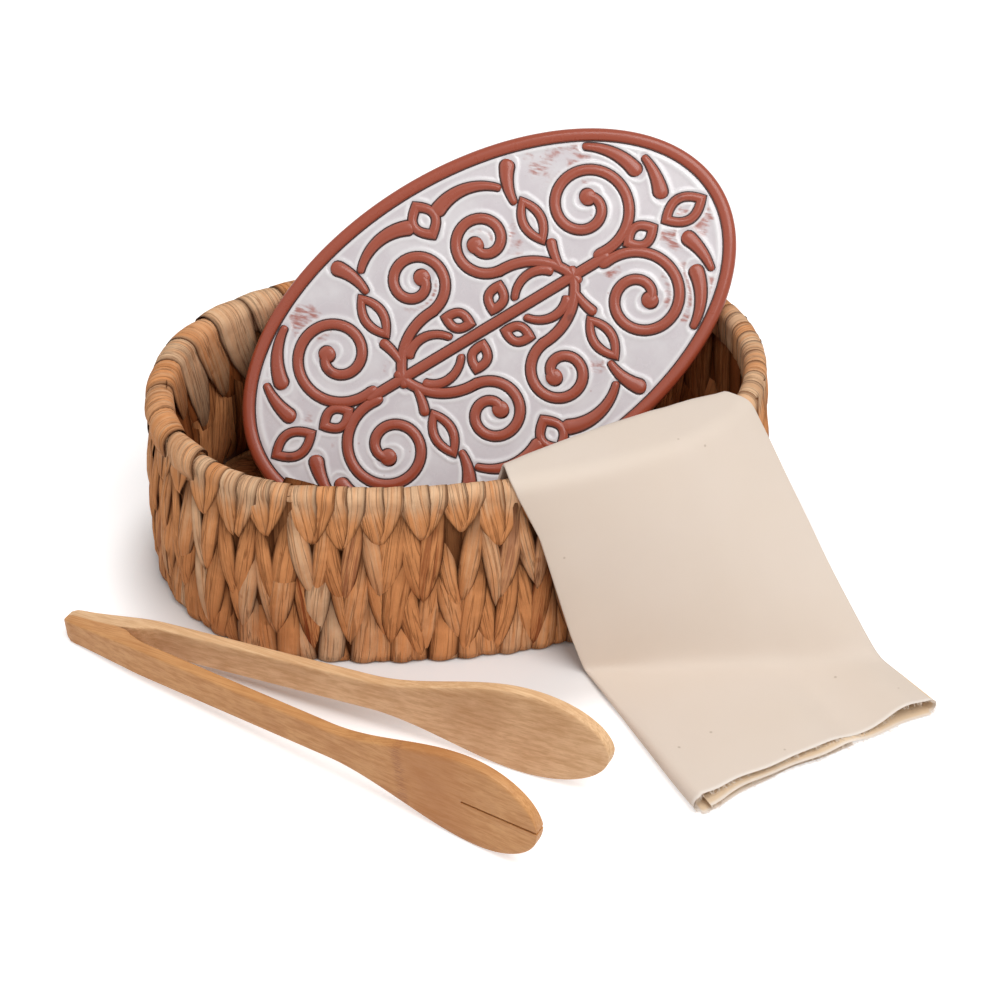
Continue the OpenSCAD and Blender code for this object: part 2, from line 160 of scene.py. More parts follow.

# The tile's trailed lines, the thin skirt of painted shade beside them and the glaze between
LINE_W = 0.0050
BUD_W = 1.5 * LINE_W
TIP_W = 0.7 * LINE_W
SKIRT_W = 0.0006
SKIRT_Z = TILE_FIELD_Z + 0.0005
STEM_REACH = 0.068
GLAZE_RISE = 0.0003
GLAZE_UNDER = 0.0004
BEAD_AT = 0.0015
BEAD_W = 0.0008

# The cloth's path, as in the solid
CLOTH_RIM = (3.522, 4.245)
CLOTH_RUN = np.array([[0.0312, -0.0274], [0.0497, -0.0887]])
CLOTH_TAIL = np.array([[0.031, -0.097], [0.014, -0.036]])
CLOTH_WIDTH = 0.132
CLOTH_INNER = 0.070
CLOTH_SKEW = 0.28
CLOTH_LEAN_IN = 0.003
CLOTH_CREST_R = ROLL_R + 0.0009 + 0.0015
CLOTH_FOLD_IN = (0.0102, 0.0086)
CLOTH_FOLD_R = 0.0026
CLOTH_BOW = 0.0039

# The cloth's drawn form: its pulled edge, its layers, the hems as lengths along it, and its yarns
CLOTH_PULL = 0.0050
CLOTH_LAYER = 0.0017
CLOTH_SPRING = 0.0054
CLOTH_FLOOR_Z = 0.0018
CLOTH_END_Z = 0.0038
YARN_L = 0.27
HEM_INSIDE = (0.235, 0.262)
HEM_RAW = (0.2675, 0.2695)
YARN_SCALE = 640.0
FRAY_COUNT = 420
FRAY_SEED = 5

# The tongs' place and outline, as in the solids
TONG_AT = (-0.199, -0.04802)
TONG_TURN = math.radians(-39.5)
TONG_L = 0.276
ARM_T = 0.006
GRIP_H = 0.017
PADDLE_H = 0.048
ROOT_W = 0.014
WEB_L = 0.034
THROAT_L = 0.050
OPEN_A = math.radians(5)
SWELL_X = TONG_L - 0.118
BOWL_X = TONG_L - 0.040
ARM_TILT = math.atan2((PADDLE_H - GRIP_H) / 2, BOWL_X)
ARM_LIFT = 0.0085

# The tongs' drawn form: the slit, the worn front tip, the slim end, the section and the bend
SLIT_L = 0.045
SLIT_W = 0.0012
FRONT_WORN = 0.006
END_SLIM = 0.0022
END_LOW = 0.22
NOSE_L = 0.005
SECTION_POWER = 0.22

# In millimetres: how far apart the fibres of the two arms are set, and two marks along the front arm
SIDE_APART = 60
NODE_AT = 198.0
FLUSH_AT = 216.0

# The camera, the lamps and the floor
CAMERA_AT = (-0.15745, -0.93264, 0.77011)
CAMERA_AIM = (0.00864, -0.05866, 0.060)
SENSOR_W = 36.0
LENS = 86.4
KEY_AT = (0.32, -0.68, 1.42)
KEY_SIZE = 1.0
FILL_AT = (-0.9, -0.6, 1.2)
FILL_SIZE = 1.4
LAMP_AIM = (0, -0.05, 0.05)
FLOOR_HALF = 3
FLOOR_Z = -0.0004
GLOW_BACK = 0.025
GLOW_STRETCH = 1.4
NEAR_GLOW = (0.148, 0.195)
FAR_GLOW = (0.5, 2.0)


def colour_setting(name, description, default):
    """A colour that a user may change."""
    return FloatVectorProperty(name=name, description=description, default=default, subtype="COLOR")


def size_setting(name, description, default):
    """A length that a user may change."""
    return FloatProperty(name=name, description=description, default=default, unit="LENGTH")


class BasketSettings(bpy.types.PropertyGroup):
    """Sizes and colours of the woven basket."""

    columns: IntProperty(
        name="Columns", description="Braided columns round the wall", default=46, min=24, max=72)
    leaf_half: size_setting("Leaf half width", "Half the width of a leaf", 0.0052)
    leaf_crown: size_setting("Leaf crown", "How far a leaf swells at its middle", 0.0020)
    seed: IntProperty(name="Seed", description="Picks the chance lie of the leaves", default=7)
    pale: colour_setting("Pale leaf", "Colour of the palest leaves", (0.76, 0.50, 0.305))
    tan: colour_setting("Tan leaf", "Colour of most leaves", (0.71, 0.308, 0.122))
    brown: colour_setting("Brown leaf", "Colour of the darkest leaves", (0.25, 0.076, 0.021))
    rust: colour_setting("Rust", "Colour of the red-brown stains", (0.26, 0.065, 0.02))
    split: colour_setting("Split", "Colour of the splits along a leaf", (0.10, 0.026, 0.007))
    # Painted shade: leaves are mixed towards this where they lie out of the light, and so is most of the
    # core
    dark: colour_setting("Painted shade", "Painted shade deep between the leaves", (0.045, 0.011, 0.003))
    steel: colour_setting("Wire", "Drawn steel of the frame", (0.33, 0.31, 0.28))
    steel_rust: colour_setting("Wire rust", "Rust specks on the wire", (0.20, 0.10, 0.05))


class TileSettings(bpy.types.PropertyGroup):
    """Colours of the warming tile."""

    clay: colour_setting("Clay", "Fired terracotta", (0.325, 0.062, 0.028))
    clay_cloud: colour_setting("Clay cloud", "Darker clouds in the clay", (0.29, 0.058, 0.028))
    # Paler flanks of a line: partly thin glaze over the clay, partly painted sheen
    flank_glaze_and_sheen: colour_setting("Clay flank", "Thin glaze and painted sheen on the flanks of a line", (0.50, 0.19, 0.145))
    # Dark specks in the clay, and painted shade at the foot of each line and of the border
    speck_and_foot_shade: colour_setting("Clay edge", "Dark specks, and painted shade at the foot of the relief", (0.040, 0.007, 0.004))
    glaze: colour_setting("Glaze", "Glaze pooled against the lines", (0.725, 0.705, 0.708))
    glaze_thin: colour_setting("Thin glaze", "Glaze in the open field", (0.560, 0.512, 0.532))


class ClothSettings(bpy.types.PropertyGroup):
    """Size and colours of the folded cloth."""

    flat_width: size_setting("Flat width", "Width of the cloth laid flat", 0.352)
    flat_length: size_setting("Flat length", "Length of the cloth laid flat", 0.275)
    cotton: colour_setting("Cotton", "Unbleached cotton", (0.70, 0.592, 0.502))
    shade: colour_setting("Cotton shade", "Darker patches of the cotton", (0.685, 0.567, 0.46))
    crest: colour_setting("Yarn crest", "Lit crests of the yarns", (0.82, 0.74, 0.66))
    inside: colour_setting("Inside", "Warm shade between the layers", (0.82, 0.60, 0.37))
    raw: colour_setting("Raw edge", "Loose yarns of the raw edge", (0.86, 0.79, 0.72))
    fleck: colour_setting("Fleck", "Seed flecks in the yarn", (0.30, 0.20, 0.12))


class TongSettings(bpy.types.PropertyGroup):
    """Colours of the bamboo tongs."""

    bamboo: colour_setting("Bamboo", "Planed bamboo", (0.84, 0.55, 0.305))
    grain: colour_setting("Grain", "Dark fibres of the bamboo", (0.50, 0.24, 0.092))
    # Painted shade: the whole front arm is multiplied by this
    front_shade: colour_setting("Front shade", "Painted shade over the front arm", (0.77, 0.59, 0.40))
    flush: colour_setting("Flush", "Warm flush on the front paddle", (0.46, 0.175, 0.048))
    node_band: colour_setting("Node band", "Band where the cane had a node", (0.36, 0.135, 0.05))


class StageSettings(bpy.types.PropertyGroup):
    """Camera, floor and light."""

    floor: colour_setting("Floor", "Colour of the floor", (0.82, 0.795, 0.785))
    floor_glow: FloatProperty(
        name="Floor glow", description="White added to the floor as it is seen", default=0.5)
    key_power: FloatProperty(name="Key light", description="Power of the key light in watts", default=17.0)
    fill_power: FloatProperty(name="Fill light", description="Power of the fill light in watts", default=2.2)
    sky: FloatProperty(name="Sky", description="Strength of the even light from all round", default=0.46)


def smooth(x):
    """An S curve from 0 to 1: 3x squared less 2x cubed, level at both ends."""
    x = np.clip(x, 0, 1)
    return x * x * (3 - 2 * x)


def oval(length, off):
    """Points that lie off outside the rim, at a length along it from its right-hand end, and the outward
    directions there. The angle grows evenly with the length on each arc, and a point is the arc's centre
    plus the arc's radius and off along that angle."""
    angle = np.interp(length % RIM_LENGTH, ARC_ENDS, ARC_ANGLES)
    out = np.stack([np.cos(angle), np.sin(angle)], -1)
    on_end = np.abs(out[..., 0]) >= MEET[0]
    none = np.zeros_like(angle)
    centre = np.where(
        on_end[..., None],
        np.stack([np.sign(out[..., 0]) * END_X, none], -1),
        np.stack([none, -np.sign(out[..., 1]) * SIDE_Y], -1))
    radius = np.where(on_end, END_R, SIDE_R) + off
    return centre + radius[..., None] * out, out


def grid_faces(rows, cols, start=0, ring=False):
    """Quads of a grid whose points run along each row in turn. A ring joins the last column to the first."""
    row = np.arange(rows - 1)[:, None] * cols
    col = np.arange(cols if ring else cols - 1)[None, :]
    following = (col + 1) % cols
    quads = np.stack([row + col, row + following, row + cols + following, row + cols + col], -1)
    return quads.reshape(-1, 4) + start


def new_piece(name, points, faces, material, **values):
    """A mesh object at the origin from arrays of points and quads. Each value is a vector at every point."""
    mesh = bpy.data.meshes.new(name)
    mesh.from_pydata(points.reshape(-1, 3).tolist(), [], faces.tolist())
    for key, value in values.items():
        layer = mesh.attributes.new(key, "FLOAT_VECTOR", "POINT")
        layer.data.foreach_set("vector", np.ascontiguousarray(value, np.float32).ravel())
    mesh.polygons.foreach_set("use_smooth", np.ones(len(mesh.polygons), bool))
    mesh.materials.append(material)
    mesh.validate()
    piece = bpy.data.objects.new(name, mesh)
    bpy.context.scene.collection.objects.link(piece)
    return piece


def weld(piece, angle=40):
    """Merges the doubled points of seams and poles, turns the faces outwards and keeps edges past an angle
    crisp."""
    bpy.context.view_layer.objects.active = piece
    bpy.ops.object.select_all(action="DESELECT")
    piece.select_set(True)
    bpy.ops.object.mode_set(mode="EDIT")
    bpy.ops.mesh.select_all(action="SELECT")
    bpy.ops.mesh.remove_doubles(threshold=1e-6)
    bpy.ops.mesh.normals_make_consistent(inside=False)
    bpy.ops.object.mode_set(mode="OBJECT")
    bpy.ops.object.shade_smooth_by_angle(angle=math.radians(angle))


def new_group(name, inputs, outputs):
    """An empty shader group with named value, colour or vector sockets."""
    group = bpy.data.node_groups.new(name, "ShaderNodeTree")
    for label, kind, value in inputs:
        socket = group.interface.new_socket(label, in_out="INPUT", socket_type=kind)
        socket.default_value = value
    for label, kind in outputs:
        group.interface.new_socket(label, in_out="OUTPUT", socket_type=kind)
    source = group.nodes.new("NodeGroupInput")
    target = group.nodes.new("NodeGroupOutput")
    return group, source, target


def feed(tree, socket, value):
    """Links a socket to a value that is a socket, and otherwise sets it."""
    if isinstance(value, bpy.types.NodeSocket):
        tree.links.new(value, socket)
    else:
        socket.default_value = value


def add(tree, kind, **settings):
    """A new node. A setting is a socket's value where a socket has that name, with _ for a space, and
    otherwise a property of the node. A socket as a value is linked."""
    node = tree.nodes.new(kind)
    for key, value in settings.items():
        label = key.replace("_", " ")
        if label in node.inputs:
            feed(tree, node.inputs[label], value)
        else:
            setattr(node, key, value)
    return node


def math_node(tree, operation, a, b=0.0, clamp=False):
    """The result of one sum on two sockets or numbers."""
    node = tree.nodes.new("ShaderNodeMath")
    node.operation = operation
    node.use_clamp = clamp
    for socket, value in zip(node.inputs, (a, b)):
        feed(tree, socket, value)
    return node.outputs[0]


def times(tree, a, b):
    """One value times another."""
    return math_node(tree, "MULTIPLY", a, b)


def off_from(tree, value, middle):
    """How far a value lies from a middle one, either way."""
    return math_node(tree, "ABSOLUTE", math_node(tree, "SUBTRACT", value, middle))


def spread(tree, value, low, high, to_low=0.0, to_high=1.0):
    """A value between low and high, spread out smoothly between two others."""
    node = add(tree, "ShaderNodeMapRange", interpolation_type="SMOOTHSTEP", Value=value, From_Min=low,
               From_Max=high, To_Min=to_low, To_Max=to_high)
    return node.outputs["Result"]


def mix(tree, share, a, b, blend="MIX"):
    """A colour between a and b."""
    node = tree.nodes.new("ShaderNodeMix")
    node.data_type = "RGBA"
    node.blend_type = blend
    sockets = (node.inputs[0], node.inputs[6], node.inputs[7])
    for socket, value in zip(sockets, (share, a, b)):
        is_colour = not isinstance(value, bpy.types.NodeSocket) and hasattr(value, "__len__")
        feed(tree, socket, (*value[:3], 1.0) if is_colour else value)
    return node.outputs[2]


def part_of(tree, vector):
    """The three parts of a vector."""
    node = add(tree, "ShaderNodeSeparateXYZ", Vector=vector)
    return node.outputs["X"], node.outputs["Y"], node.outputs["Z"]


def stretched_noise(tree, place, stretch, **settings):
    """Noise over a place that is scaled by its own amount each way."""
    scaled = add(tree, "ShaderNodeVectorMath", operation="MULTIPLY")
    feed(tree, scaled.inputs[0], place)
    feed(tree, scaled.inputs[1], stretch)
    return add(tree, "ShaderNodeTexNoise", Vector=scaled.outputs[0], **settings).outputs["Fac"]


def fibre_group():
    """Fibres along a strip. Place is across, along and a number for the strip, in millimetres. Streak is a
    broad streaky value, Line a mask of thin dark splits, and Height a fine ribbing."""
    group, source, target = new_group(
        "Fibres",
        [("Place", "NodeSocketVector", (0, 0, 0)), ("Ribs", "NodeSocketFloat", 1.0)],
        [("Streak", "NodeSocketFloat"), ("Line", "NodeSocketFloat"), ("Height", "NodeSocketFloat")])
    place = source.outputs["Place"]
    streak = stretched_noise(group, place, STREAK_STRETCH, Scale=1.0, Detail=4.0, Roughness=0.6)
    split = stretched_noise(group, place, SPLIT_STRETCH, Scale=1.0, Detail=2.0, Roughness=0.5)
    line = spread(group, off_from(group, split, 0.5), 0.004, 0.030, 1.0, 0.0)
    fine = stretched_noise(group, place, RIB_STRETCH, Scale=source.outputs["Ribs"], Detail=2.0)
    height = math_node(group, "SUBTRACT", fine, times(group, line, 0.35))
    for label, value in (("Streak", streak), ("Line", line), ("Height", height)):
        group.links.new(value, target.inputs[label])
    return group


def mottle_group():
    """Uneven colour in the body of a material: a soft Cloud value and a mask of small Specks, over Object
    coordinates at a size in metres."""
    group, source, target = new_group(
        "Mottle",
        [("Size", "NodeSocketFloat", 0.01), ("Speck Share", "NodeSocketFloat", 0.1)],
        [("Cloud", "NodeSocketFloat"), ("Specks", "NodeSocketFloat")])
    where = add(group, "ShaderNodeTexCoord").outputs["Object"]
    scale = math_node(group, "DIVIDE", 1.0, source.outputs["Size"])
    cloud = add(group, "ShaderNodeTexNoise", Vector=where, Scale=scale, Detail=5.0, Roughness=0.55)
    group.links.new(cloud.outputs["Fac"], target.inputs["Cloud"])
    cells = add(group, "ShaderNodeTexVoronoi", Vector=where, Scale=scale)
    pick = part_of(group, cells.outputs["Color"])[0]
    chosen = math_node(group, "LESS_THAN", pick, source.outputs["Speck Share"])
    near = spread(group, cells.outputs["Distance"], 0.10, 0.22, 1.0, 0.0)
    group.links.new(times(group, chosen, near), target.inputs["Specks"])
    return group


def shared_group(name):
    """The shader group of that name, built the first time it is asked for."""
    makers = {"Fibres": fibre_group, "Mottle": mottle_group}
    return bpy.data.node_groups.get(name) or makers[name]()


def use_group(tree, name, **inputs):
    """A shared group placed in a material with its own values."""
    node = tree.nodes.new("ShaderNodeGroup")
    node.node_tree = shared_group(name)
    for key, value in inputs.items():
        feed(tree, node.inputs[key.replace("_", " ")], value)
    return node


def new_material(name, roughness=0.5, **sockets):
    """A material with one Principled shader, and its tree and shader to build on."""
    material = bpy.data.materials.new(name)
    material.use_nodes = True
    tree = material.node_tree
    shader = tree.nodes["Principled BSDF"]
    shader.inputs["Roughness"].default_value = roughness
    for key, value in sockets.items():
        shader.inputs[key.replace("_", " ")].default_value = value
    return material, tree, shader


def paint(tree, shader, body, roughness=None):
    """Links a colour to the shader, and a roughness where it varies."""
    tree.links.new(body, shader.inputs["Base Color"])
    if roughness is not None:
        tree.links.new(roughness, shader.inputs["Roughness"])


def bump(tree, shader, height, strength, distance):
    """Raises a surface by a height value."""
    node = add(tree, "ShaderNodeBump", Height=height, Strength=strength, Distance=distance)
    tree.links.new(node.outputs["Normal"], shader.inputs["Normal"])


def attribute(tree, name):
    """The vector that a piece carries at each point under that name."""
    return add(tree, "ShaderNodeAttribute", attribute_name=name).outputs["Vector"]


def leaf_material(look):
    """Dried leaf. The piece's place gives the fibres, and its tint gives the leaf's tone, its rust and how
    far it lies open to the light."""
    material, tree, shader = new_material("dried_leaf", 0.7, Specular_IOR_Level=0.03)
    tone, rust, open_share = part_of(tree, attribute(tree, "tint"))
    fibres = use_group(tree, "Fibres", Place=attribute(tree, "place"), Ribs=1.0)
    mottle = use_group(tree, "Mottle", Size=0.009, Speck_Share=0.10)
    streak = fibres.outputs["Streak"]
    shift = times(tree, math_node(tree, "SUBTRACT", streak, 0.5), 0.75)
    level = math_node(tree, "ADD", tone, shift)
    body = mix(tree, spread(tree, level, 0.0, 0.5), look.brown, look.tan)
    body = mix(tree, spread(tree, level, 0.6, 1.1), body, look.pale)
    body = mix(tree, spread(tree, mottle.outputs["Cloud"], 0.35, 0.65, 0.0, 0.22), body, look.brown)
    body = mix(tree, times(tree, rust, spread(tree, streak, 0.42, 0.60)), body, look.rust)
    body = mix(tree, times(tree, fibres.outputs["Line"], 0.42), body, look.split)
    body = mix(tree, times(tree, mottle.outputs["Specks"], 0.35), body, look.rust)
    # Painted shade: where a leaf lies out of the light, by its tint, it is mixed towards the shade colour
    body = mix(tree, open_share, look.dark, body)
    paint(tree, shader, body, spread(tree, streak, 0.3, 0.7, 0.8, 0.55))
    bump(tree, shader, fibres.outputs["Height"], 0.8, 0.0010)
    return material


def shaded_core_material(look):
    """The inside of the weave, seen only between leaves: painted shade, mostly in the shade colour."""
    material, tree, shader = new_material("weave_core_painted_shade", 0.9)
    mottle = use_group(tree, "Mottle", Size=0.004, Speck_Share=0.3)
    body = mix(tree, mottle.outputs["Cloud"], look.dark, look.brown)
    # Three quarters painted shade colour
    paint(tree, shader, mix(tree, 0.75, body, look.dark))
    bump(tree, shader, mottle.outputs["Cloud"], 0.6, 0.001)
    return material


def over_rim(along, inner, roll_r):
    """The section of a leaf folded over the rim, as depth, height and outward direction. It climbs the inner
    wall for the length inner, goes half round the roll, and then drops down the outside."""
    turned = np.clip((along - inner) / roll_r, 0, math.pi)
    angle = math.pi - turned
    climb = np.minimum(along, inner) - inner
    drop = np.maximum(along - inner - math.pi * roll_r, 0)
    off = ROLL_OFF + roll_r * np.cos(angle)
    z = WALL_TOP + roll_r * np.sin(angle) + climb - drop
    return off, z, np.cos(angle), np.sin(angle)


def lay_leaves(section, start, drift, run, half, taper, bend, lift, crown, tilt, sway, rows, cols=11):
    """A patch for each leaf, as points, with the distances across and along and the shares along and
    across. A leaf starts at a length along the rim and drifts by bend, a share of its drift, as it runs down
    its section, and sways by half a wave. Its half width follows taper, it stands off the section by lift,
    swells by crown times one less the square of the share across, and tilts."""
    f = np.linspace(0, 1, rows)[None, :, None]
    v = np.linspace(-1, 1, cols)[None, None, :]
    start, drift, run, half, tilt, sway = (x[:, None, None] for x in (start, drift, run, half, tilt, sway))
    lean = np.arctan2(drift, run)
    width = half * taper(f)
    across = v * width
    along = f * run - across * np.sin(lean)
    off, z, out_part, up_part = section(along)
    height = lift(f) + crown * (1 - v * v) * np.sqrt(taper(f)) + tilt * across
    middle = start + drift * bend(f) + sway * np.sin(math.pi * f)
    where, _ = oval(middle + across * np.cos(lean), off + out_part * height)
    points = np.concatenate([where, (z + up_part * height)[..., None]], -1)
    return points, across + 0 * along, along, f + 0 * across, v + 0 * along


def leaf_values(rng, across, along, f, v, tones, opening, edge, fade):
    """The place and tint that the leaf material reads. Tones are the row's middle tone, its spread and the
    share of stained leaves. Each leaf has a tone and a fibre pattern of its own, and the tone may fall
    towards its tip, which leaves the rim's crest pale as a painted highlight. It lies open to the light by
    the curve opening, less a power of the distance across, and is painted in shade by the rest."""
    each = (len(across), 1, 1)
    middle, play, stained_share = tones
    mark = rng.uniform(0, 400, each)
    tone = np.clip(rng.normal(middle, play, each), 0.02, 0.98)
    stained = (rng.random(each) < stained_share) * rng.uniform(0.5, 1.0, each)
    edge_dark, edge_power = edge
    tone = tone - fade * smooth((f - 0.5) / 0.3)
    open_share = np.interp(f, *opening) * (1 - edge_dark * np.abs(v) ** edge_power)
    place = np.stack([across / MM, along / MM, mark + 0 * across], -1)
    tint = np.stack([tone, stained + 0 * across, open_share], -1)
    return place.reshape(-1, 3), tint.reshape(-1, 3)


def leaf_row(rng, section, tones, opening, edge=SOFT_EDGE, fade=0.0, rows=11, **lie):
    """A row of leaves as points, place and tint."""
    points, across, along, f, v = lay_leaves(section, rows=rows, **lie)
    return points, *leaf_values(rng, across, along, f, v, tones, opening, edge, fade)


def read_off(curve):
    """A function that reads a value off a curve at a share of a leaf's length."""
    return lambda f: np.interp(f, *curve)


def patch_faces(count, rows, cols):
    """The quads of many patches of one grid, one after the other."""
    one = grid_faces(rows, cols)
    return (one[None] + (np.arange(count) * rows * cols)[:, None, None]).reshape(-1, 4)


def braid_piece(name, groups, material):
    """One piece from several groups of leaves, each of points, place and tint on a grid of one size."""
    points, places, tints, faces, start = [], [], [], [], 0
    for patch, place, tint in groups:
        count, rows, cols = patch.shape[:3]
        faces.append(patch_faces(count, rows, cols) + start)
        start += count * rows * cols
        points.append(patch.reshape(-1, 3))
        places.append(place)
        tints.append(tint)
    return new_piece(name, np.concatenate(points), np.concatenate(faces), material,
                     place=np.concatenate(places), tint=np.concatenate(tints))


def flare(z):
    """How far the wall's leaves stand out at a height: a little more towards the base."""
    return 0.0002 + 0.0014 * smooth((WALL_TOP - z) / WALL_TOP)


def down_wall(z_top, depth, outward=1.0):
    """The section of a leaf that runs straight down a wall from a height, at a depth that follows the
    height, as depth, height and outward direction."""
    def section(along):
        z = z_top[:, None, None] - along
        return depth(z), z, outward + 0 * along, 0 * along

    return section


def column_places(rng, columns):
    """The two leaves of each column: the column's middle along the rim, with some play, and the side, -1 on
    the left and 1 on the right."""
    pitch = RIM_LENGTH / columns
    middle = np.repeat((np.arange(columns) + 0.5) * pitch, 2)
    side = np.tile([-1.0, 1.0], columns)
    play = np.repeat(np.clip(rng.normal(0, 0.07, columns), -0.1, 0.1) * pitch, 2)
    return middle + play, side, pitch


def petal(f):
    """The width of a wall leaf down its length, as a share: it swells to its full width a little past the
    middle, and closes in an arch with a short point."""
    swell = 0.68 + 0.32 * smooth(f / 0.5)
    arch = np.maximum(1 - np.clip((f - 0.5) / 0.5, 0, 1) ** 2, 0) ** 0.8
    return np.maximum(swell * arch, 0.06)


def braid_row(rng, look, top, length):
    """One row of nested leaf pairs down the outer wall. Each leaf comes out between two columns and closes
    on its column's middle in a point."""
    middle, side, pitch = column_places(rng, look.columns)
    count = len(side)
    z_top = top + np.repeat(rng.normal(0, 0.0038, look.columns), 2) + rng.normal(0, 0.0018, count)
    run = length + rng.normal(0, 0.0015, count)
    reach = LEAF_REACH * pitch
    order = rng.normal(0, 0.0003, count)[:, None, None]
    over = LEAF_LAYER * side[:, None, None]
    upper = over * np.repeat(rng.choice([-1.0, 1.0], look.columns), 2)[:, None, None]
    return leaf_row(
        rng, down_wall(z_top, flare), BRAID_TONES, BRAID_OPEN, CRISP_EDGE,
        start=middle + side * reach,
        drift=-side * (reach - rng.uniform(0.0002, 0.0012, count)),
        run=np.minimum(z_top - 0.0016, run),
        half=look.leaf_half * rng.uniform(0.85, 1.3, count),
        taper=petal,
        bend=lambda f: 0.75 * f + 0.25 * smooth(f),
        lift=lambda f: np.interp(f, *BRAID_LIFT) + order + upper * f + over * (1 - f),
        crown=look.leaf_crown,
        tilt=rng.normal(0, 0.10, count) - side * 0.07,
        sway=rng.normal(0, 0.0009, count))


def under_row(rng, look):
    """Broad leaves straight down the wall behind the braid, seen only in its gaps, and painted dark there as
    shade.
    """
    count = look.columns
    pitch = RIM_LENGTH / count
    return leaf_row(
        rng, down_wall(np.full(count, UNDER_TOP), lambda z: flare(z) - 0.0012), UNDER_TONES, UNDER_OPEN,
        start=np.arange(count) * pitch,
        drift=rng.normal(0, 0.002, count),
        run=np.full(count, UNDER_TOP - 0.0015),
        half=np.full(count, 0.62 * pitch),
        taper=np.ones_like,
        bend=lambda f: f,
        lift=np.zeros_like,
        crown=0.0008,
        tilt=rng.normal(0, 0.03, count),
        sway=rng.normal(0, 0.001, count))


def foot_row(rng, look):
    """The short blunt leaves between the lowest points, which turn in under the base at the table."""
    middle, side, pitch = column_places(rng, look.columns)
    count = len(side)
    z_top = FOOT_TOP + rng.normal(0, 0.002, count)
    over = LEAF_LAYER * side[:, None, None]

    def section(along):
        z = np.maximum(z_top[:, None, None] - along, FOOT_CLEAR)
        under = np.maximum(along - z_top[:, None, None] + FOOT_CLEAR, 0)
        return flare(z) - under, z, 1.0 + 0 * along, 0 * along

    return leaf_row(
        rng, section, FOOT_TONES, FOOT_OPEN,
        start=middle + side * LEAF_REACH * pitch,
        drift=-side * rng.uniform(0.002, 0.005, count),
        run=z_top + 0.004,
        half=look.leaf_half * rng.uniform(1.1, 1.4, count),
        taper=read_off(FOOT_TAPER),
        bend=lambda f: f,
        lift=lambda f: np.interp(f, *FOOT_LIFT) + over,
        crown=look.leaf_crown,
        tilt=rng.normal(0, 0.06, count),
        sway=rng.normal(0, 0.0012, count))


def inner_row(rng, look, top, length, lean, sunk):
    """One row of broad leaves down the inner wall, leaning one way and lying over each other, or sunk behind
    another row."""
    count = look.columns
    pitch = RIM_LENGTH / count
    z_top = top + rng.normal(0, 0.004, count)
    return leaf_row(
        rng, down_wall(z_top, lambda z: -WALL_T + 0.0012 + sunk + 0 * z, -1.0), INNER_TONES, INNER_OPEN,
        start=(np.arange(count) + rng.uniform(0.3, 0.7, count)) * pitch,
        drift=lean * rng.uniform(0.4, 1.4, count),
        run=np.minimum(length + rng.normal(0, 0.004, count), z_top - BASE_T - 0.001),
        half=rng.uniform(0.0095, 0.0120, count),
        taper=read_off(INNER_TAPER),
        bend=lambda f: f,
        lift=read_off(INNER_LIFT),
        crown=0.0009,
        tilt=rng.normal(0, 0.06, count),
        sway=rng.normal(0, 0.0012, count))


def rim_row(rng, look):
    """The leaves folded over the rim, two to a column, whose outer ends close in the first row of points."""
    middle, side, pitch = column_places(rng, look.columns)
    count = len(side)
    inner = 0.012
    roll_r = ROLL_R - 0.0004
    drop = 0.0225 + np.repeat(rng.normal(0, 0.0025, look.columns), 2)
    order = rng.uniform(-0.0001, 0.0001, count)[:, None, None]
    return leaf_row(
        rng, lambda along: over_rim(along, inner, roll_r), RIM_TONES, RIM_OPEN, RIM_EDGE, RIM_HIGHLIGHT_FALL, 33,
        start=middle + side * 0.25 * pitch + rng.uniform(-0.001, 0.001, count),
        drift=-side * (0.25 * pitch - rng.uniform(0.0002, 0.0012, count)),
        run=inner + math.pi * roll_r + drop,
        half=look.leaf_half * rng.uniform(1.38, 1.58, count),
        taper=read_off(RIM_TAPER),
        bend=lambda f: smooth((f - 0.42) / 0.58),
        lift=lambda f: np.interp(f, *RIM_LIFT) + order,
        crown=0.0003,
        tilt=rng.normal(0.075, 0.008, count),
        sway=rng.normal(0, 0.0004, count))


def wrap_row(rng):
    """Broad slanting wraps over the rim at the back and the two ends, with long tails down the inside."""
    first, last = (share * RIM_LENGTH for share in WRAP_SPAN)
    count = int(round((last - first) / WRAP_PITCH))
    inner = rng.uniform(0.030, 0.050, count)
    roll_r = ROLL_R + 0.0007
    order = rng.normal(0, 0.0003, count)[:, None, None]
    return leaf_row(
        rng, lambda along: over_rim(along, inner[:, None, None], roll_r), WRAP_TONES, WRAP_OPEN, WRAP_EDGE,
        rows=31,
        start=first + (np.arange(count) + rng.uniform(0.3, 0.7, count)) * WRAP_PITCH - 0.010,
        drift=rng.uniform(0.015, 0.027, count),
        run=inner + math.pi * roll_r + rng.uniform(0.007, 0.012, count),
        half=rng.uniform(0.0112, 0.0140, count),
        taper=read_off(WRAP_TAPER),
        bend=lambda f: f,
        lift=lambda f: np.interp(f, *WRAP_LIFT) + order,
        crown=0.0008,
        tilt=rng.normal(0.03, 0.03, count),
        sway=rng.normal(0, 0.0012, count))


def core_points():
    """The hidden body of the wall, inside the leaves and round the wires: a closed section, each point of
    which is carried along the rim in a row."""
    section = np.array([*CORE_SECTION, CORE_SECTION[0]]) * MM
    stations = np.linspace(0, RIM_LENGTH, CORE_STEPS + 1)[None, :-1]
    where, _ = oval(stations + 0 * section[:, :1], section[:, :1] + 0 * stations)
    z = section[:, 1:] + 0 * stations
    return np.concatenate([where, z[..., None]], -1)


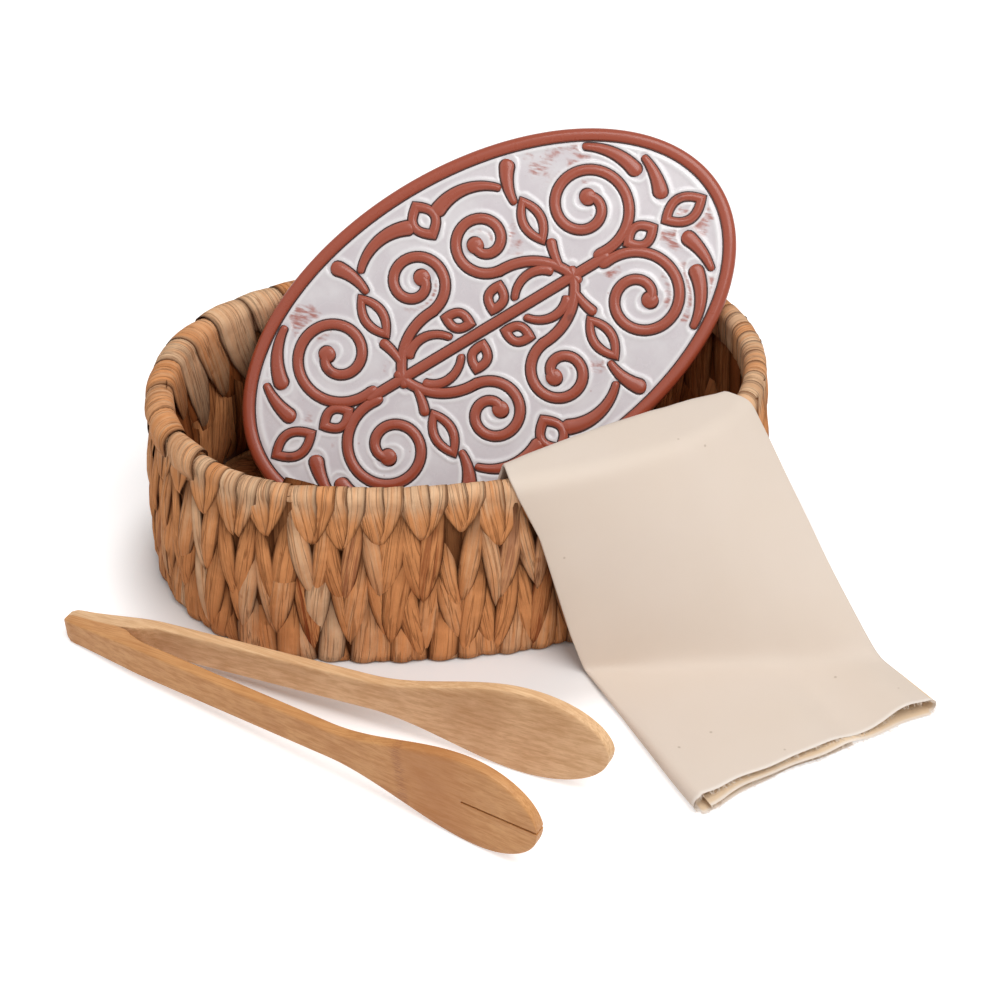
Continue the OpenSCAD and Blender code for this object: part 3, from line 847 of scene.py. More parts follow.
class BASKET_OT_wall(bpy.types.Operator):
    """Braids the leaves of the outer and inner wall over a core painted in shade"""

    bl_idname = "basket.wall"
    bl_label = "Woven Wall"

    def execute(self, context):
        look = context.scene.basket_look
        rng = np.random.default_rng(look.seed)
        leaf = leaf_material(look)
        outside = [under_row(rng, look)]
        outside += [braid_row(rng, look, *row) for row in BRAID_ROWS]
        outside.append(foot_row(rng, look))
        wall = braid_piece("wall_leaves", outside, leaf)
        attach(wall, "basket")
        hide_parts("weave_course_1", "weave_course_2", "weave_course_3", "weave_course_4")
        inside = [inner_row(rng, look, *row) for row in LINING_ROWS]
        lining = braid_piece("lining_leaves", inside, leaf)
        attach(lining, "basket")
        points = core_points()
        faces = grid_faces(*points.shape[:2], ring=True)
        core = new_piece("wall_core", points, faces, shaded_core_material(look))
        weld(core)
        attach(core, "basket")
        return {"FINISHED"}


class BASKET_OT_rim(bpy.types.Operator):
    """Folds the rim leaves and the broad wraps over the rim wire"""

    bl_idname = "basket.rim"
    bl_label = "Bound Rim"

    def execute(self, context):
        look = context.scene.basket_look
        rng = np.random.default_rng(look.seed + 1)
        leaf = bpy.data.materials["dried_leaf"]
        rim = braid_piece("rim_leaves", [rim_row(rng, look), wrap_row(rng)], leaf)
        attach(rim, "basket")
        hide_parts("rim_binding")
        return {"FINISHED"}


def mat_points(rings, spokes):
    """The woven base as a closed shell. Its top and underside are rings of the oval drawn in towards the
    middle, raised by a plait of strips: the height is the product of two waves, one along and one across."""
    share = np.concatenate([np.linspace(0, 1, rings), np.linspace(1, 0, rings)])[:, None]
    stations = np.linspace(0, RIM_LENGTH, spokes + 1)[None, :-1]
    edge, _ = oval(stations, np.full_like(stations, -0.0005))
    where = edge * share[..., None]
    wave = math.pi / PLAIT_W
    plait = 0.0009 * np.sin(where[..., 0] * wave) * np.sin(where[..., 1] * wave)
    top = (np.arange(2 * rings) < rings)[:, None]
    z = np.where(top, BASE_T - 0.0006 + plait, 0.0012 + plait) + 0 * stations
    return np.concatenate([where, z[..., None]], -1)


class BASKET_OT_base(bpy.types.Operator):
    """Plaits the woven base"""

    bl_idname = "basket.base"
    bl_label = "Woven Base"

    def execute(self, context):
        leaf = bpy.data.materials["dried_leaf"]
        rings, spokes = 34, 150
        points = mat_points(rings, spokes)
        flat = points.reshape(-1, 3)
        strip = np.floor(flat[:, :2] / PLAIT_W)
        over = (strip.sum(1) % 2)[:, None] > 0
        place = np.where(over, flat[:, [0, 1, 2]], flat[:, [1, 0, 2]]) / MM
        place[:, 2] = 17 * strip[:, 0] + 31 * strip[:, 1]
        tone = 0.42 + 0.25 * np.sin(7.1 * strip[:, 0] + 3.3 * strip[:, 1])
        # The third part of the tint leaves the plait 0.85 open to the light: a little painted shade inside
        # the basket
        tint = np.stack([tone, 0 * tone, 0.85 + 0 * tone], -1)
        faces = grid_faces(2 * rings, spokes, ring=True)
        mat = new_piece("base_plait", points, faces, leaf, place=place, tint=tint)
        weld(mat)
        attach(mat, "basket")
        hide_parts("base_mat")
        return {"FINISHED"}


class BASKET_OT_wires(bpy.types.Operator):
    """Gives the wire frame its dull drawn-steel finish"""

    bl_idname = "basket.wires"
    bl_label = "Wire Frame"

    def execute(self, context):
        look = context.scene.basket_look
        material, tree, shader = new_material("drawn_wire", 0.45, Metallic=1.0)
        mottle = use_group(tree, "Mottle", Size=0.003, Speck_Share=0.15)
        body = mix(tree, mottle.outputs["Specks"], look.steel, look.steel_rust)
        paint(tree, shader, body, spread(tree, mottle.outputs["Cloud"], 0.3, 0.7, 0.35, 0.6))
        for node in WIRE_NODES:
            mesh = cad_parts[node].data
            mesh.materials.clear()
            mesh.materials.append(material)
        return {"FINISHED"}


def tile_place(points):
    """Moves points from the tile's own frame, back face down, to where the tile leans on the rim."""
    turn = Matrix.Rotation(TILE_YAW, 3, "Z") @ Matrix.Rotation(TILE_LEAN, 3, "X")
    turn = turn @ Matrix.Rotation(TILE_ROLL, 3, "Z")
    return points @ np.array(turn).T + np.array(TILE_MID)


def scroll(centre, r0, r1, a0, sweep, w0=LINE_W, w1=LINE_W):
    """A trailed line as centre points and half widths. It winds about a centre from one radius to another
    while its width goes from w0 to w1, and runs on by half a width at both ends, which are round."""
    length = abs(math.radians(sweep)) * (r0 + r1) / 2 * MM
    count = max(14, int(length / 0.0011))
    ends = np.array([-w0 / 2, length + w1 / 2])
    s = np.linspace(ends[0], ends[1], count)
    s = ends[0] + (ends[1] - ends[0]) * (0.5 - 0.5 * np.cos(math.pi * (s - ends[0]) / (ends[1] - ends[0])))
    f = s / length
    radius = (r0 + (r1 - r0) * f) * MM
    angle = np.radians(a0 + sweep * f)
    middle = np.array(centre) * MM + radius[:, None] * np.stack([np.cos(angle), np.sin(angle)], -1)
    width = w0 + (w1 - w0) * np.clip(f, 0, 1)
    past = np.maximum(np.maximum(-s / (w0 / 2), (s - length) / (w1 / 2)), 0)
    round_end = np.sqrt(np.maximum(1 - past ** 2, 0))
    across = np.stack([np.cos(angle), np.sin(angle)], -1)
    return middle, width / 2 * round_end, across, round_end


def leaf_loop(at, turn, length, width):
    """A leaf drawn as a closed line. Its outline is cosine along and sine times its own size across, and the
    line lies between that and a smaller outline."""
    t = np.linspace(0, 2 * math.pi, 49)
    shape = np.stack([np.cos(t), np.sin(t) * np.abs(np.sin(t))], -1)
    outer = shape * np.array([length, width]) / 2 * MM
    inner = shape * (np.array([length, width]) * MM - LINE_W * np.array([2.4, 1.7])) / 2
    a = math.radians(turn)
    spin = np.array([[math.cos(a), math.sin(a)], [-math.sin(a), math.cos(a)]])
    outer = outer @ spin + np.array(at) * MM
    inner = inner @ spin + np.array(at) * MM
    gap = outer - inner
    half = np.linalg.norm(gap, axis=1) / 2
    return (outer + inner) / 2, half, gap / np.maximum(2 * half, 1e-9)[:, None], np.ones(len(t))


def knob(centre, radius, angle):
    """The round knob at the inner end of a volute, as a short line as wide as it is long."""
    a = math.radians(angle)
    middle = np.array(centre) * MM + radius * MM * np.array([math.cos(a), math.sin(a)])
    s = -np.cos(np.linspace(0, math.pi, 14))
    size = 0.85 * LINE_W
    path = middle + size * s[:, None] * np.array([1.0, 0.0])
    round_end = np.sqrt(np.maximum(1 - s ** 2, 0))
    return path, size * round_end, np.tile([0.0, 1.0], (len(s), 1)), round_end


def volute(centre, r0, r1, a0, sweep):
    """A line that winds in to a knob."""
    return [scroll(centre, r0, r1, a0, sweep), knob(centre, r1, a0 + sweep)]


def quarter_lines():
    """The scrollwork of one quarter of the tile, in millimetres and degrees on the tile's axes: two volutes,
    the lines that follow them and the leaves between."""
    outer, outer_knob = volute((72, 26.5), 24.5, 5, -102, 505)
    inner, inner_knob = volute((20, 38), 17, 4.5, -88, -455)
    return [
        outer, inner,
        scroll((20, -10), 31, 31, 14, 78),
        scroll((70, 24), 33, 33, 10, 48, BUD_W, TIP_W),
        scroll((72, 26.5), 38, 38, -20, 28, BUD_W, TIP_W),
        scroll((20, 38), 27.5, 27.5, 44, 70, TIP_W, BUD_W),
        scroll((72, 46), 29, 29, 178, -36, TIP_W, BUD_W),
        scroll((33, -2), 16, 13, 150, -96, TIP_W),
        scroll((86, 6), 40, 40, 178, -18, TIP_W),
        leaf_loop((46, 34), 86, 27, 13.5), leaf_loop((11, 10.5), 44, 18, 12),
        outer_knob, inner_knob]


def axis_lines():
    """The leaves on the tile's long axis, on the right half."""
    return [leaf_loop((113, 0), 0, 26, 16), leaf_loop((88, 0), 0, 20, 14)]


def stem_line():
    """The straight stem along the middle of the tile, with round ends."""
    x = -(STEM_REACH + LINE_W / 2) * np.cos(np.linspace(0, math.pi, 90))
    end = np.sqrt(np.maximum(1 - np.maximum((np.abs(x) - STEM_REACH) / (LINE_W / 2), 0) ** 2, 0))
    return np.stack([x, 0 * x], -1), LINE_W / 2 * end, np.tile([0.0, 1.0], (len(x), 1)), end


def all_lines():
    """Every trailed line of the tile: the quarter in four mirror images, and the leaves on the two axes."""
    flips = [np.array([sx, sy]) for sx in (1.0, -1.0) for sy in (1.0, -1.0)]
    lines = [stem_line()]
    lines += [(m * flip, h, a * flip, e) for flip in flips for m, h, a, e in quarter_lines()]
    for sign in (1.0, -1.0):
        side = np.array([sign, 1.0])
        lines += [(m * side, h, a * side, e) for m, h, a, e in axis_lines()]
        m, h, a, e = leaf_loop((0, 62), 90, 22, 16)
        lines.append((m * np.array([1.0, sign]), h, a * np.array([1.0, sign]), e))
    return lines


def relief_piece(lines, material):
    """The raised clay lines. Across a line, the height is that of half an ellipse with a flattened top,
    which falls to the field at the round ends, and a thin skirt lies on the glaze at both sides. The
    foot value is 1 on the skirt and 0 on the crest; by it the flanks are painted paler, partly as painted
    sheen, and the foot and skirt dark as painted shade."""
    angle = np.linspace(0, math.pi, 9)
    spread_out = np.concatenate([[1.0], np.cos(angle), [-1.0]])
    skirt = np.concatenate([[SKIRT_W], 0 * angle, [-SKIRT_W]])
    bulge = np.concatenate([[0.0], np.sin(angle) ** 0.7, [0.0]])
    cols = len(bulge)
    points, feet, faces, start = [], [], [], 0
    for middle, half, across, round_end in lines:
        reach = half[:, None] * spread_out + skirt * np.sqrt(round_end)[:, None]
        flat = middle[:, None] + across[:, None] * reach[..., None]
        rise = (TILE_TOP_Z - SKIRT_Z) * np.sqrt(round_end)[:, None] * bulge
        points.append(np.concatenate([flat, (SKIRT_Z + rise)[..., None]], -1).reshape(-1, 3))
        foot = np.broadcast_to(1 - bulge, rise.shape).ravel()
        feet.append(np.stack([foot, 0 * foot, 0 * foot], -1))
        faces.append(grid_faces(len(middle), cols, start))
        start += len(middle) * cols
    return new_piece("tile_scrolls", tile_place(np.concatenate(points)), np.concatenate(faces), material,
                     foot=np.concatenate(feet))


def tile_body_piece(material):
    """The clay body: a section carried round the ellipse, from the middle of the back, round the rounded
    edge, over the border's bead and in to the middle of the field."""
    bead = np.linspace(0, math.pi, 13)
    half = TILE_BORDER / 2
    inset = np.concatenate([[0.0018, 0.0018, 0.0005, 0, 0], half - half * np.cos(bead),
                            [TILE_BORDER + SKIRT_W, TILE_BORDER + SKIRT_W + 0.0003, TILE_BORDER + 0.001]])
    bead_z = np.where(bead < math.pi / 2, 0.0080, SKIRT_Z)
    z = np.concatenate([[0, 0, 0.0005, 0.0018, 0.0078], bead_z + (TILE_TOP_Z - bead_z) * np.sin(bead) ** 0.7,
                        [SKIRT_Z, 0.0086, 0.0086]])
    shrink = np.ones(len(z))
    shrink[[0, -1]] = 0
    theta = np.linspace(0, 2 * math.pi, 241)[:-1]
    x = ((TILE_A - inset) * shrink)[:, None] * np.cos(theta)
    y = ((TILE_B - inset) * shrink)[:, None] * np.sin(theta)
    points = np.stack([x, y, z[:, None] + 0 * x], -1)
    # The inner foot of the border bead carries foot 1, where the clay is painted dark as shade
    foot = np.zeros(len(z))
    foot[len(z) - 4:] = 1
    feet = np.repeat(foot, len(theta))
    faces = grid_faces(len(z), len(theta), ring=True)
    body = new_piece("tile_body", tile_place(points.reshape(-1, 3)), faces, material,
                     foot=np.stack([feet, 0 * feet, 0 * feet], -1))
    weld(body)
    return body


def glaze_piece(lines, material):
    """The glazed field: a square grid drawn on to an ellipse, x times the root of one less half the square
    of y and the same for y. It stands in a low bead beside each line. Its pool is the bead and the distance
    from the nearest line in centimetres, and its brushed place runs slantwise in millimetres."""
    rows, cols = 205, 330
    u, v = np.meshgrid(np.linspace(-1, 1, cols), np.linspace(-1, 1, rows))
    a, b = (half - TILE_BORDER + GLAZE_UNDER for half in (TILE_A, TILE_B))
    x = (a * u * np.sqrt(1 - v * v / 2)).ravel()
    y = (b * v * np.sqrt(1 - u * u / 2)).ravel()
    middle = np.concatenate([m for m, _, _, _ in lines]).astype(np.float32)
    half = np.concatenate([h for _, h, _, _ in lines]).astype(np.float32)
    field = np.stack([x, y], -1).astype(np.float32)
    blocks = [np.min(np.sqrt(((block[:, None] - middle) ** 2).sum(-1)) - half, axis=1)
              for block in np.array_split(field, 80)]
    rim_gap = (1 - np.sqrt((x / a) ** 2 + (y / b) ** 2)) * b - GLAZE_UNDER
    gap = np.maximum(np.minimum(np.concatenate(blocks), rim_gap), 0)
    bead = np.exp(-((gap - BEAD_AT) / BEAD_W) ** 2)
    z = TILE_FIELD_Z + GLAZE_RISE + GLAZE_RISE * bead
    return new_piece(
        "tile_glaze_field", tile_place(np.stack([x, y, z], -1)), grid_faces(rows, cols), material,
        pool=np.stack([bead, gap / 0.01, 0 * x], -1),
        brushed=np.stack([x + y, 0.22 * (x - y), 0 * x], -1) / MM)


def clay_material(look):
    """Fired terracotta under a thin clear glaze, painted dark as shade where it meets the white glaze, and
    with paler flanks on the lines that are partly painted sheen.
    """
    material, tree, shader = new_material(
        "terracotta", 0.38, Specular_IOR_Level=0.3, Coat_Weight=0.2, Coat_Roughness=0.12)
    mottle = use_group(tree, "Mottle", Size=0.012, Speck_Share=0.08)
    cloud = mottle.outputs["Cloud"]
    foot = part_of(tree, attribute(tree, "foot"))[0]
    body = mix(tree, spread(tree, cloud, 0.3, 0.7, 0.0, 0.35), look.clay, look.clay_cloud)
    body = mix(tree, times(tree, mottle.outputs["Specks"], 0.4), body, look.speck_and_foot_shade)
    # Paler flanks: partly thin glaze over the clay, partly painted sheen
    body = mix(tree, spread(tree, foot, 0.05, 0.30, 0.0, 0.30), body, look.flank_glaze_and_sheen)
    # Painted shade at the foot of each line and of the border
    body = mix(tree, spread(tree, foot, 0.45, 0.80), body, look.speck_and_foot_shade)
    paint(tree, shader, body, spread(tree, cloud, 0.3, 0.7, 0.22, 0.36))
    bump(tree, shader, cloud, 0.12, 0.0006)
    return material


def glaze_material(look):
    """White glaze, thick and bright against the lines, thin and faintly lilac in the open, with worn spots
    where the clay shows."""
    material, tree, shader = new_material("white_glaze", 0.25, Coat_Weight=0.25, Coat_Roughness=0.12)
    near, gap, _ = part_of(tree, attribute(tree, "pool"))
    cloud = use_group(tree, "Mottle", Size=0.016, Speck_Share=0.05).outputs["Cloud"]
    specks = use_group(tree, "Mottle", Size=0.0035, Speck_Share=0.03).outputs["Specks"]
    wear = use_group(tree, "Mottle", Size=0.034, Speck_Share=0.0).outputs["Cloud"]
    open_share = math_node(tree, "SUBTRACT", 1.0, near, clamp=True)
    thin = times(tree, open_share, spread(tree, cloud, 0.25, 0.65, 0.45, 1.0))
    body = mix(tree, thin, look.glaze, look.glaze_thin)
    strokes = add(tree, "ShaderNodeTexNoise", Vector=attribute(tree, "brushed"), Scale=0.42, Detail=3.0)
    ragged = spread(tree, strokes.outputs["Fac"], 0.36, 0.60)
    worn = times(tree, spread(tree, wear, 0.575, 0.65), ragged)
    worn = times(tree, worn, spread(tree, gap, 0.08, 0.25))
    body = mix(tree, times(tree, worn, 0.85), body, look.clay)
    body = mix(tree, times(tree, specks, 0.30), body, look.clay)
    paint(tree, shader, body, spread(tree, cloud, 0.3, 0.7, 0.2, 0.34))
    bump(tree, shader, cloud, 0.2, 0.0008)
    return material


class BASKET_OT_tile(bpy.types.Operator):
    """Makes the terracotta tile, its trailed scrolls and its white glaze"""

    bl_idname = "basket.tile"
    bl_label = "Warming Tile"

    def execute(self, context):
        look = context.scene.tile_look
        clay = clay_material(look)
        lines = all_lines()
        body = tile_body_piece(clay)
        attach(body, "tile")
        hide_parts("warming_tile")
        scrolls = relief_piece(lines, clay)
        weld(scrolls, 70)
        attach(scrolls, "tile")
        glaze = glaze_piece(lines, glaze_material(look))
        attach(glaze, "tile")
        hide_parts("tile_glaze")
        return {"FINISHED"}


def rim_place(quarter):
    """The length along the rim of a place counted in arcs from the front right, as the solids count it."""
    starts = np.array([-TURN, TURN, math.pi - TURN, math.pi + TURN, 2 * math.pi - TURN, 2 * math.pi + TURN])
    angle = np.interp(quarter % 4, np.arange(6), starts) % (2 * math.pi)
    return np.interp(angle, ARC_ANGLES, ARC_ENDS)


def cloth_strip(f, g):
    """Points of the folded strip at f across from its left edge and g along from its inner end. A row climbs
    inside the basket, turns over a fold that runs nearly straight across, goes out level to the rim and
    round its roll, runs down a straight ramp to the table and along it, and each stretch adds its share of
    the row's length."""
    rim_ends = rim_place(np.array(CLOTH_RIM))
    crest, out = oval(rim_ends[0] + (rim_ends[1] - rim_ends[0]) * f, ROLL_OFF + 0 * f)
    along = np.stack([-out[..., 1], out[..., 0]], -1)
    share = f[..., None]
    ends, _ = oval(rim_ends, np.full(2, ROLL_OFF))
    folds, _ = oval(rim_ends, ROLL_OFF - np.array(CLOTH_FOLD_IN))
    chord = (folds[1] - folds[0]) / np.linalg.norm(folds[1] - folds[0])
    bow = CLOTH_BOW * np.array([-chord[1], chord[0]])
    fold = folds[0] * (1 - share) + folds[1] * share + 4 * share * (1 - share) * bow - crest
    reach = np.linalg.norm(fold, axis=-1)
    into = fold / reach[..., None]
    ledge = reach - CLOTH_FOLD_R
    kinks = ends + CLOTH_RUN
    kink = kinks[0] * (1 - share) + kinks[1] * share - crest
    tail = CLOTH_TAIL[0] * (1 - share) + CLOTH_TAIL[1] * share
    kink_out = (kink * out).sum(-1)
    kink_along = (kink * along).sum(-1)
    drop = WALL_TOP - CLOTH_FLOOR_Z
    leave = np.arccos(CLOTH_CREST_R / np.hypot(kink_out, drop)) - np.arctan2(drop, kink_out)
    lengths = [CLOTH_INNER + 0 * f, math.pi / 2 * CLOTH_FOLD_R + 0 * f, ledge,
               (math.pi / 2 - leave) * CLOTH_CREST_R,
               np.sqrt(kink_out ** 2 + drop ** 2 + kink_along ** 2 - CLOTH_CREST_R ** 2),
               np.linalg.norm(tail, axis=-1)]
    s = g * sum(lengths)
    parts = []
    for length in lengths:
        parts.append(np.clip(s / length, 0, 1))
        s = s - length
    rise, bent, level, turned, ramp, run = parts
    inner = (1 - rise) * CLOTH_INNER
    lean = (1 - bent) * math.pi / 2
    angle = math.pi / 2 - turned * (math.pi / 2 - leave)
    deep = ledge * (1 - level) + CLOTH_FOLD_R * np.sin(lean) + CLOTH_LEAN_IN * (1 - rise)
    depth = CLOTH_CREST_R * np.cos(angle) + (kink_out - CLOTH_CREST_R * np.cos(leave)) * ramp
    height = WALL_TOP + CLOTH_CREST_R * np.sin(angle) - CLOTH_FOLD_R * (1 - np.cos(lean)) - inner
    height = height + (CLOTH_FLOOR_Z - WALL_TOP - CLOTH_CREST_R * np.sin(leave)) * ramp
    height = height + (CLOTH_END_Z - CLOTH_FLOOR_Z) * run
    slip = kink_along * ramp - CLOTH_SKEW * inner
    to_right = (ends[1] - ends[0]) / np.linalg.norm(ends[1] - ends[0])
    pulled = CLOTH_PULL * (1 - f) ** 3 * np.interp(turned + 3 * ramp, (0.2, 1.75, 3.4, 4), (0, 1, 0.05, 0))
    flat = crest + deep[..., None] * into + depth[..., None] * out + slip[..., None] * along
    flat = flat + pulled[..., None] * to_right
    return np.concatenate([flat + tail * run[..., None], height[..., None]], -1)


def softened(points, passes):
    """Rounds the creases of a sheet along its length: each point moves to the mean of itself and its two
    neighbours, again and again, with the ends held."""
    for _ in range(passes):
        inner = (points[:-2] + 2 * points[1:-1] + points[2:]) / 4
        points = np.concatenate([points[:1], inner, points[-1:]])
    return points


def fold_section(thick, loose):
    """The letter fold across the strip, from the hidden edge of the middle layer, round the right fold, back
    along the top layer, round the left fold and along the under layer. It gives the distance from the left
    edge, the height above the strip's middle and a number for the layer. Where the end is loose, the top
    layer sinks on to the middle one past the under layer's edge, and then stands open in a loop up to the
    right fold."""
    t = thick[:, None]
    end = loose[:, None]
    right_x, left_x = CLOTH_WIDTH - 0.003, 0.003
    middle_x = np.linspace(0.006, right_x, 40) + 0 * t
    top_x = np.linspace(right_x, left_x, 44) + 0 * t
    under_x = np.linspace(left_x, 0.086, 26) + 0 * t
    middle_y = -t / 2 * smooth((middle_x / CLOTH_WIDTH - 0.60) / 0.14)
    sink = np.exp(-((top_x / CLOTH_WIDTH - 0.69) / 0.10) ** 2)
    swell = np.exp(-((top_x / CLOTH_WIDTH - 0.89) / 0.07) ** 2)
    bulge = np.exp(-((top_x / CLOTH_WIDTH - 0.02) / 0.07) ** 2)
    top_y = t / 2 + end * (0.0018 * swell + 0.0022 * bulge - 0.74 * t * sink)
    turn = np.linspace(-math.pi / 2, math.pi / 2, 11)[1:-1]
    right_mid = (middle_y[:, -1:] + top_y[:, :1]) / 2
    right_r = (top_y[:, :1] - middle_y[:, -1:]) / 2
    left_r = (top_y[:, -1:] + t / 2) / 2
    right_turn = right_x + right_r * np.cos(turn)
    left_turn = left_x - left_r * np.cos(turn)
    across = np.concatenate([middle_x, right_turn, top_x, left_turn, under_x], 1)
    right_rise = right_mid + right_r * np.sin(turn)
    left_fall = top_y[:, -1:] - left_r - left_r * np.sin(turn)
    level = np.concatenate([middle_y, right_rise, top_y, left_fall, -t / 2 + 0 * under_x], 1)
    layers = ((0.7, middle_x), (0.2, right_turn), (-0.9, top_x), (-0.3, left_turn), (0.2, under_x))
    layer = np.concatenate([np.full(part.shape[1], number) for number, part in layers])
    return across, level, layer


def cloth_points(rows):
    """The cloth as one sheet: the strip's surface, with the letter fold laid across it along the strip's
    normal. A slow wave runs over the whole strip, and the three raw edges at the loose end are cut unevenly,
    each layer by its own amount."""
    g = np.linspace(0, 1, rows)
    loose = smooth((g - 0.66) / 0.34)
    thick = CLOTH_LAYER + CLOTH_SPRING * smooth((g - 0.62) / 0.38)
    across, level, layer = fold_section(thick, loose)
    steps = 52
    f_line = np.linspace(-0.03, 1.03, steps + 1)
    crisp = softened(cloth_strip(f_line[None, :] + 0 * g[:, None], g[:, None] + 0 * f_line[None, :]), 1)
    soft = softened(crisp, 14)
    worn = smooth((f_line - 0.02) / 0.35)[None, :, None] * smooth((g - 0.5) / 0.1)[:, None, None]
    strip = crisp * (1 - worn) + soft * worn
    down = np.gradient(strip, axis=0)
    down /= np.linalg.norm(down, axis=-1, keepdims=True)
    normal = np.cross(down, np.gradient(strip, axis=1))
    normal /= np.linalg.norm(normal, axis=-1, keepdims=True)
    f = across / CLOTH_WIDTH
    place = np.clip((f + 0.03) / 1.06 * steps, 0, steps - 0.001)
    low = place.astype(int)
    share = (place - low)[..., None]
    row = np.arange(rows)[:, None]

    def between(field):
        return field[row, low] * (1 - share) + field[row, low + 1] * share

    down_strip = g[:, None]
    fade = np.sin(math.pi * np.clip(down_strip * 1.25 - 0.3, 0, 1))
    wave = 0.0007 * np.sin(7.5 * f + 1.2 + 2.5 * down_strip) * fade
    ripple = np.sin(19 * f + 23 * down_strip + 2 * np.sin(9 * f)) * np.sin(17 * down_strip - 8 * f)
    wave = wave + 0.00022 * ripple
    at_end = loose[:, None] ** 2
    cut = 0.0016 * (layer + 0.5 * np.sin(11 * f + 3 * layer) + 0.25 * np.sin(27 * f)) * at_end
    cut = cut + 0.003 * np.exp(-(f / 0.16) ** 2) * at_end
    points = between(strip) + between(normal) * (level + wave)[..., None] + between(down) * cut[..., None]
    points[..., 2] = np.maximum(points[..., 2], 0.0005)
    sideways = np.linalg.norm(np.diff(points, axis=1, prepend=points[:, :1]), axis=-1)
    yarn = np.stack([np.cumsum(sideways, 1), down_strip * YARN_L + 0 * f, layer + 0 * f], -1)
    return points, yarn


def fray_threads(rng, points, count):
    """Loose yarn ends along the raw front edge, as fine ribbons of four points along and two across. A
    ribbon starts just inside the edge, runs out past it at a chance angle and curls down."""
    cols = points.shape[1]
    at = rng.uniform(0, cols - 1.001, count)
    low = at.astype(int)
    share = (at - low)[:, None]
    edge = points[-1, low] * (1 - share) + points[-1, low + 1] * share
    outwards = points[-1, low] - points[-4, low]
    outwards /= np.linalg.norm(outwards, axis=1, keepdims=True)
    sideways = np.cross(outwards, np.array([0.0, 0.0, 1.0]))
    heading = outwards + sideways * rng.normal(0, 0.5, count)[:, None]
    length = rng.uniform(0.0005, 0.0020, count)[:, None, None, None]
    f = np.linspace(-0.35, 1, 4)[None, :, None, None]
    v = np.array([-1.0, 1.0])[None, None, :, None] * 0.00008
    sag = -0.35 * f ** 2 * np.array([0.0, 0.0, 1.0])
    threads = edge[:, None, None] + length * (f * heading[:, None, None] + sag)
    threads = threads + v * sideways[:, None, None]
    threads[..., 2] = np.maximum(threads[..., 2], 0.0003)
    return threads


def cotton_material(look):
    """Unbleached plain-weave cotton: crossing yarns, slubs along both ways and small dark flecks. The place
    gives the distances across and along the sheet and the layer."""
    material, tree, shader = new_material("calico", 0.85, Sheen_Weight=0.1, Sheen_Roughness=0.5)
    place = attribute(tree, "place")
    specks = use_group(tree, "Mottle", Size=0.0042, Speck_Share=0.018).outputs["Specks"]
    wide = use_group(tree, "Mottle", Size=0.045, Speck_Share=0.0).outputs["Cloud"]
    warp, weft = (
        add(tree, "ShaderNodeTexWave", Vector=place, wave_type="BANDS", bands_direction=way,
            Scale=YARN_SCALE, Distortion=1.2, Detail=1.0).outputs["Fac"]
        for way in ("X", "Y"))
    yarns = math_node(tree, "ADD", warp, weft)
    _, down, layer = part_of(tree, place)
    hidden = times(tree, spread(tree, layer, 0.0, 0.15), spread(tree, down, *HEM_INSIDE))
    body = mix(tree, spread(tree, wide, 0.3, 0.7, 0.0, 0.35), look.cotton, look.shade)
    body = mix(tree, times(tree, yarns, 0.04), body, look.crest)
    body = mix(tree, times(tree, hidden, 0.75), body, look.inside)
    body = mix(tree, spread(tree, down, *HEM_RAW, 0.0, 0.7), body, look.raw)
    body = mix(tree, times(tree, specks, 0.45), body, look.fleck)
    paint(tree, shader, body)
    bump(tree, shader, yarns, 0.25, 0.0002)
    return material


class BASKET_OT_cloth(bpy.types.Operator):
    """Lays the folded cloth over the rim"""

    bl_idname = "basket.cloth"
    bl_label = "Folded Cloth"

    def execute(self, context):
        look = context.scene.cloth_look
        points, yarn = cloth_points(130)
        cotton = cotton_material(look)
        faces = grid_faces(*points.shape[:2])
        cloth = new_piece("folded_cloth", points, faces, cotton, place=yarn.reshape(-1, 3))
        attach(cloth, "cloth")
        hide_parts("cloth")
        threads = fray_threads(np.random.default_rng(FRAY_SEED), points, FRAY_COUNT)
        faces = patch_faces(*threads.shape[:3])
        fray = new_piece("cloth_fray", threads, faces, cotton, place=threads.reshape(-1, 3))
        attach(fray, "cloth")
        return {"FINISHED"}


def arm_half(x, length):
    """Half the height of an arm: level, then an S curve to the paddle's full height, then a round end."""
    swell = GRIP_H + (PADDLE_H - GRIP_H) * smooth((x - SWELL_X) / (BOWL_X - SWELL_X))
    past = np.clip((x - BOWL_X) / (length - BOWL_X), 0, 1)
    return swell / 2 * np.sqrt(1 - past ** 2)


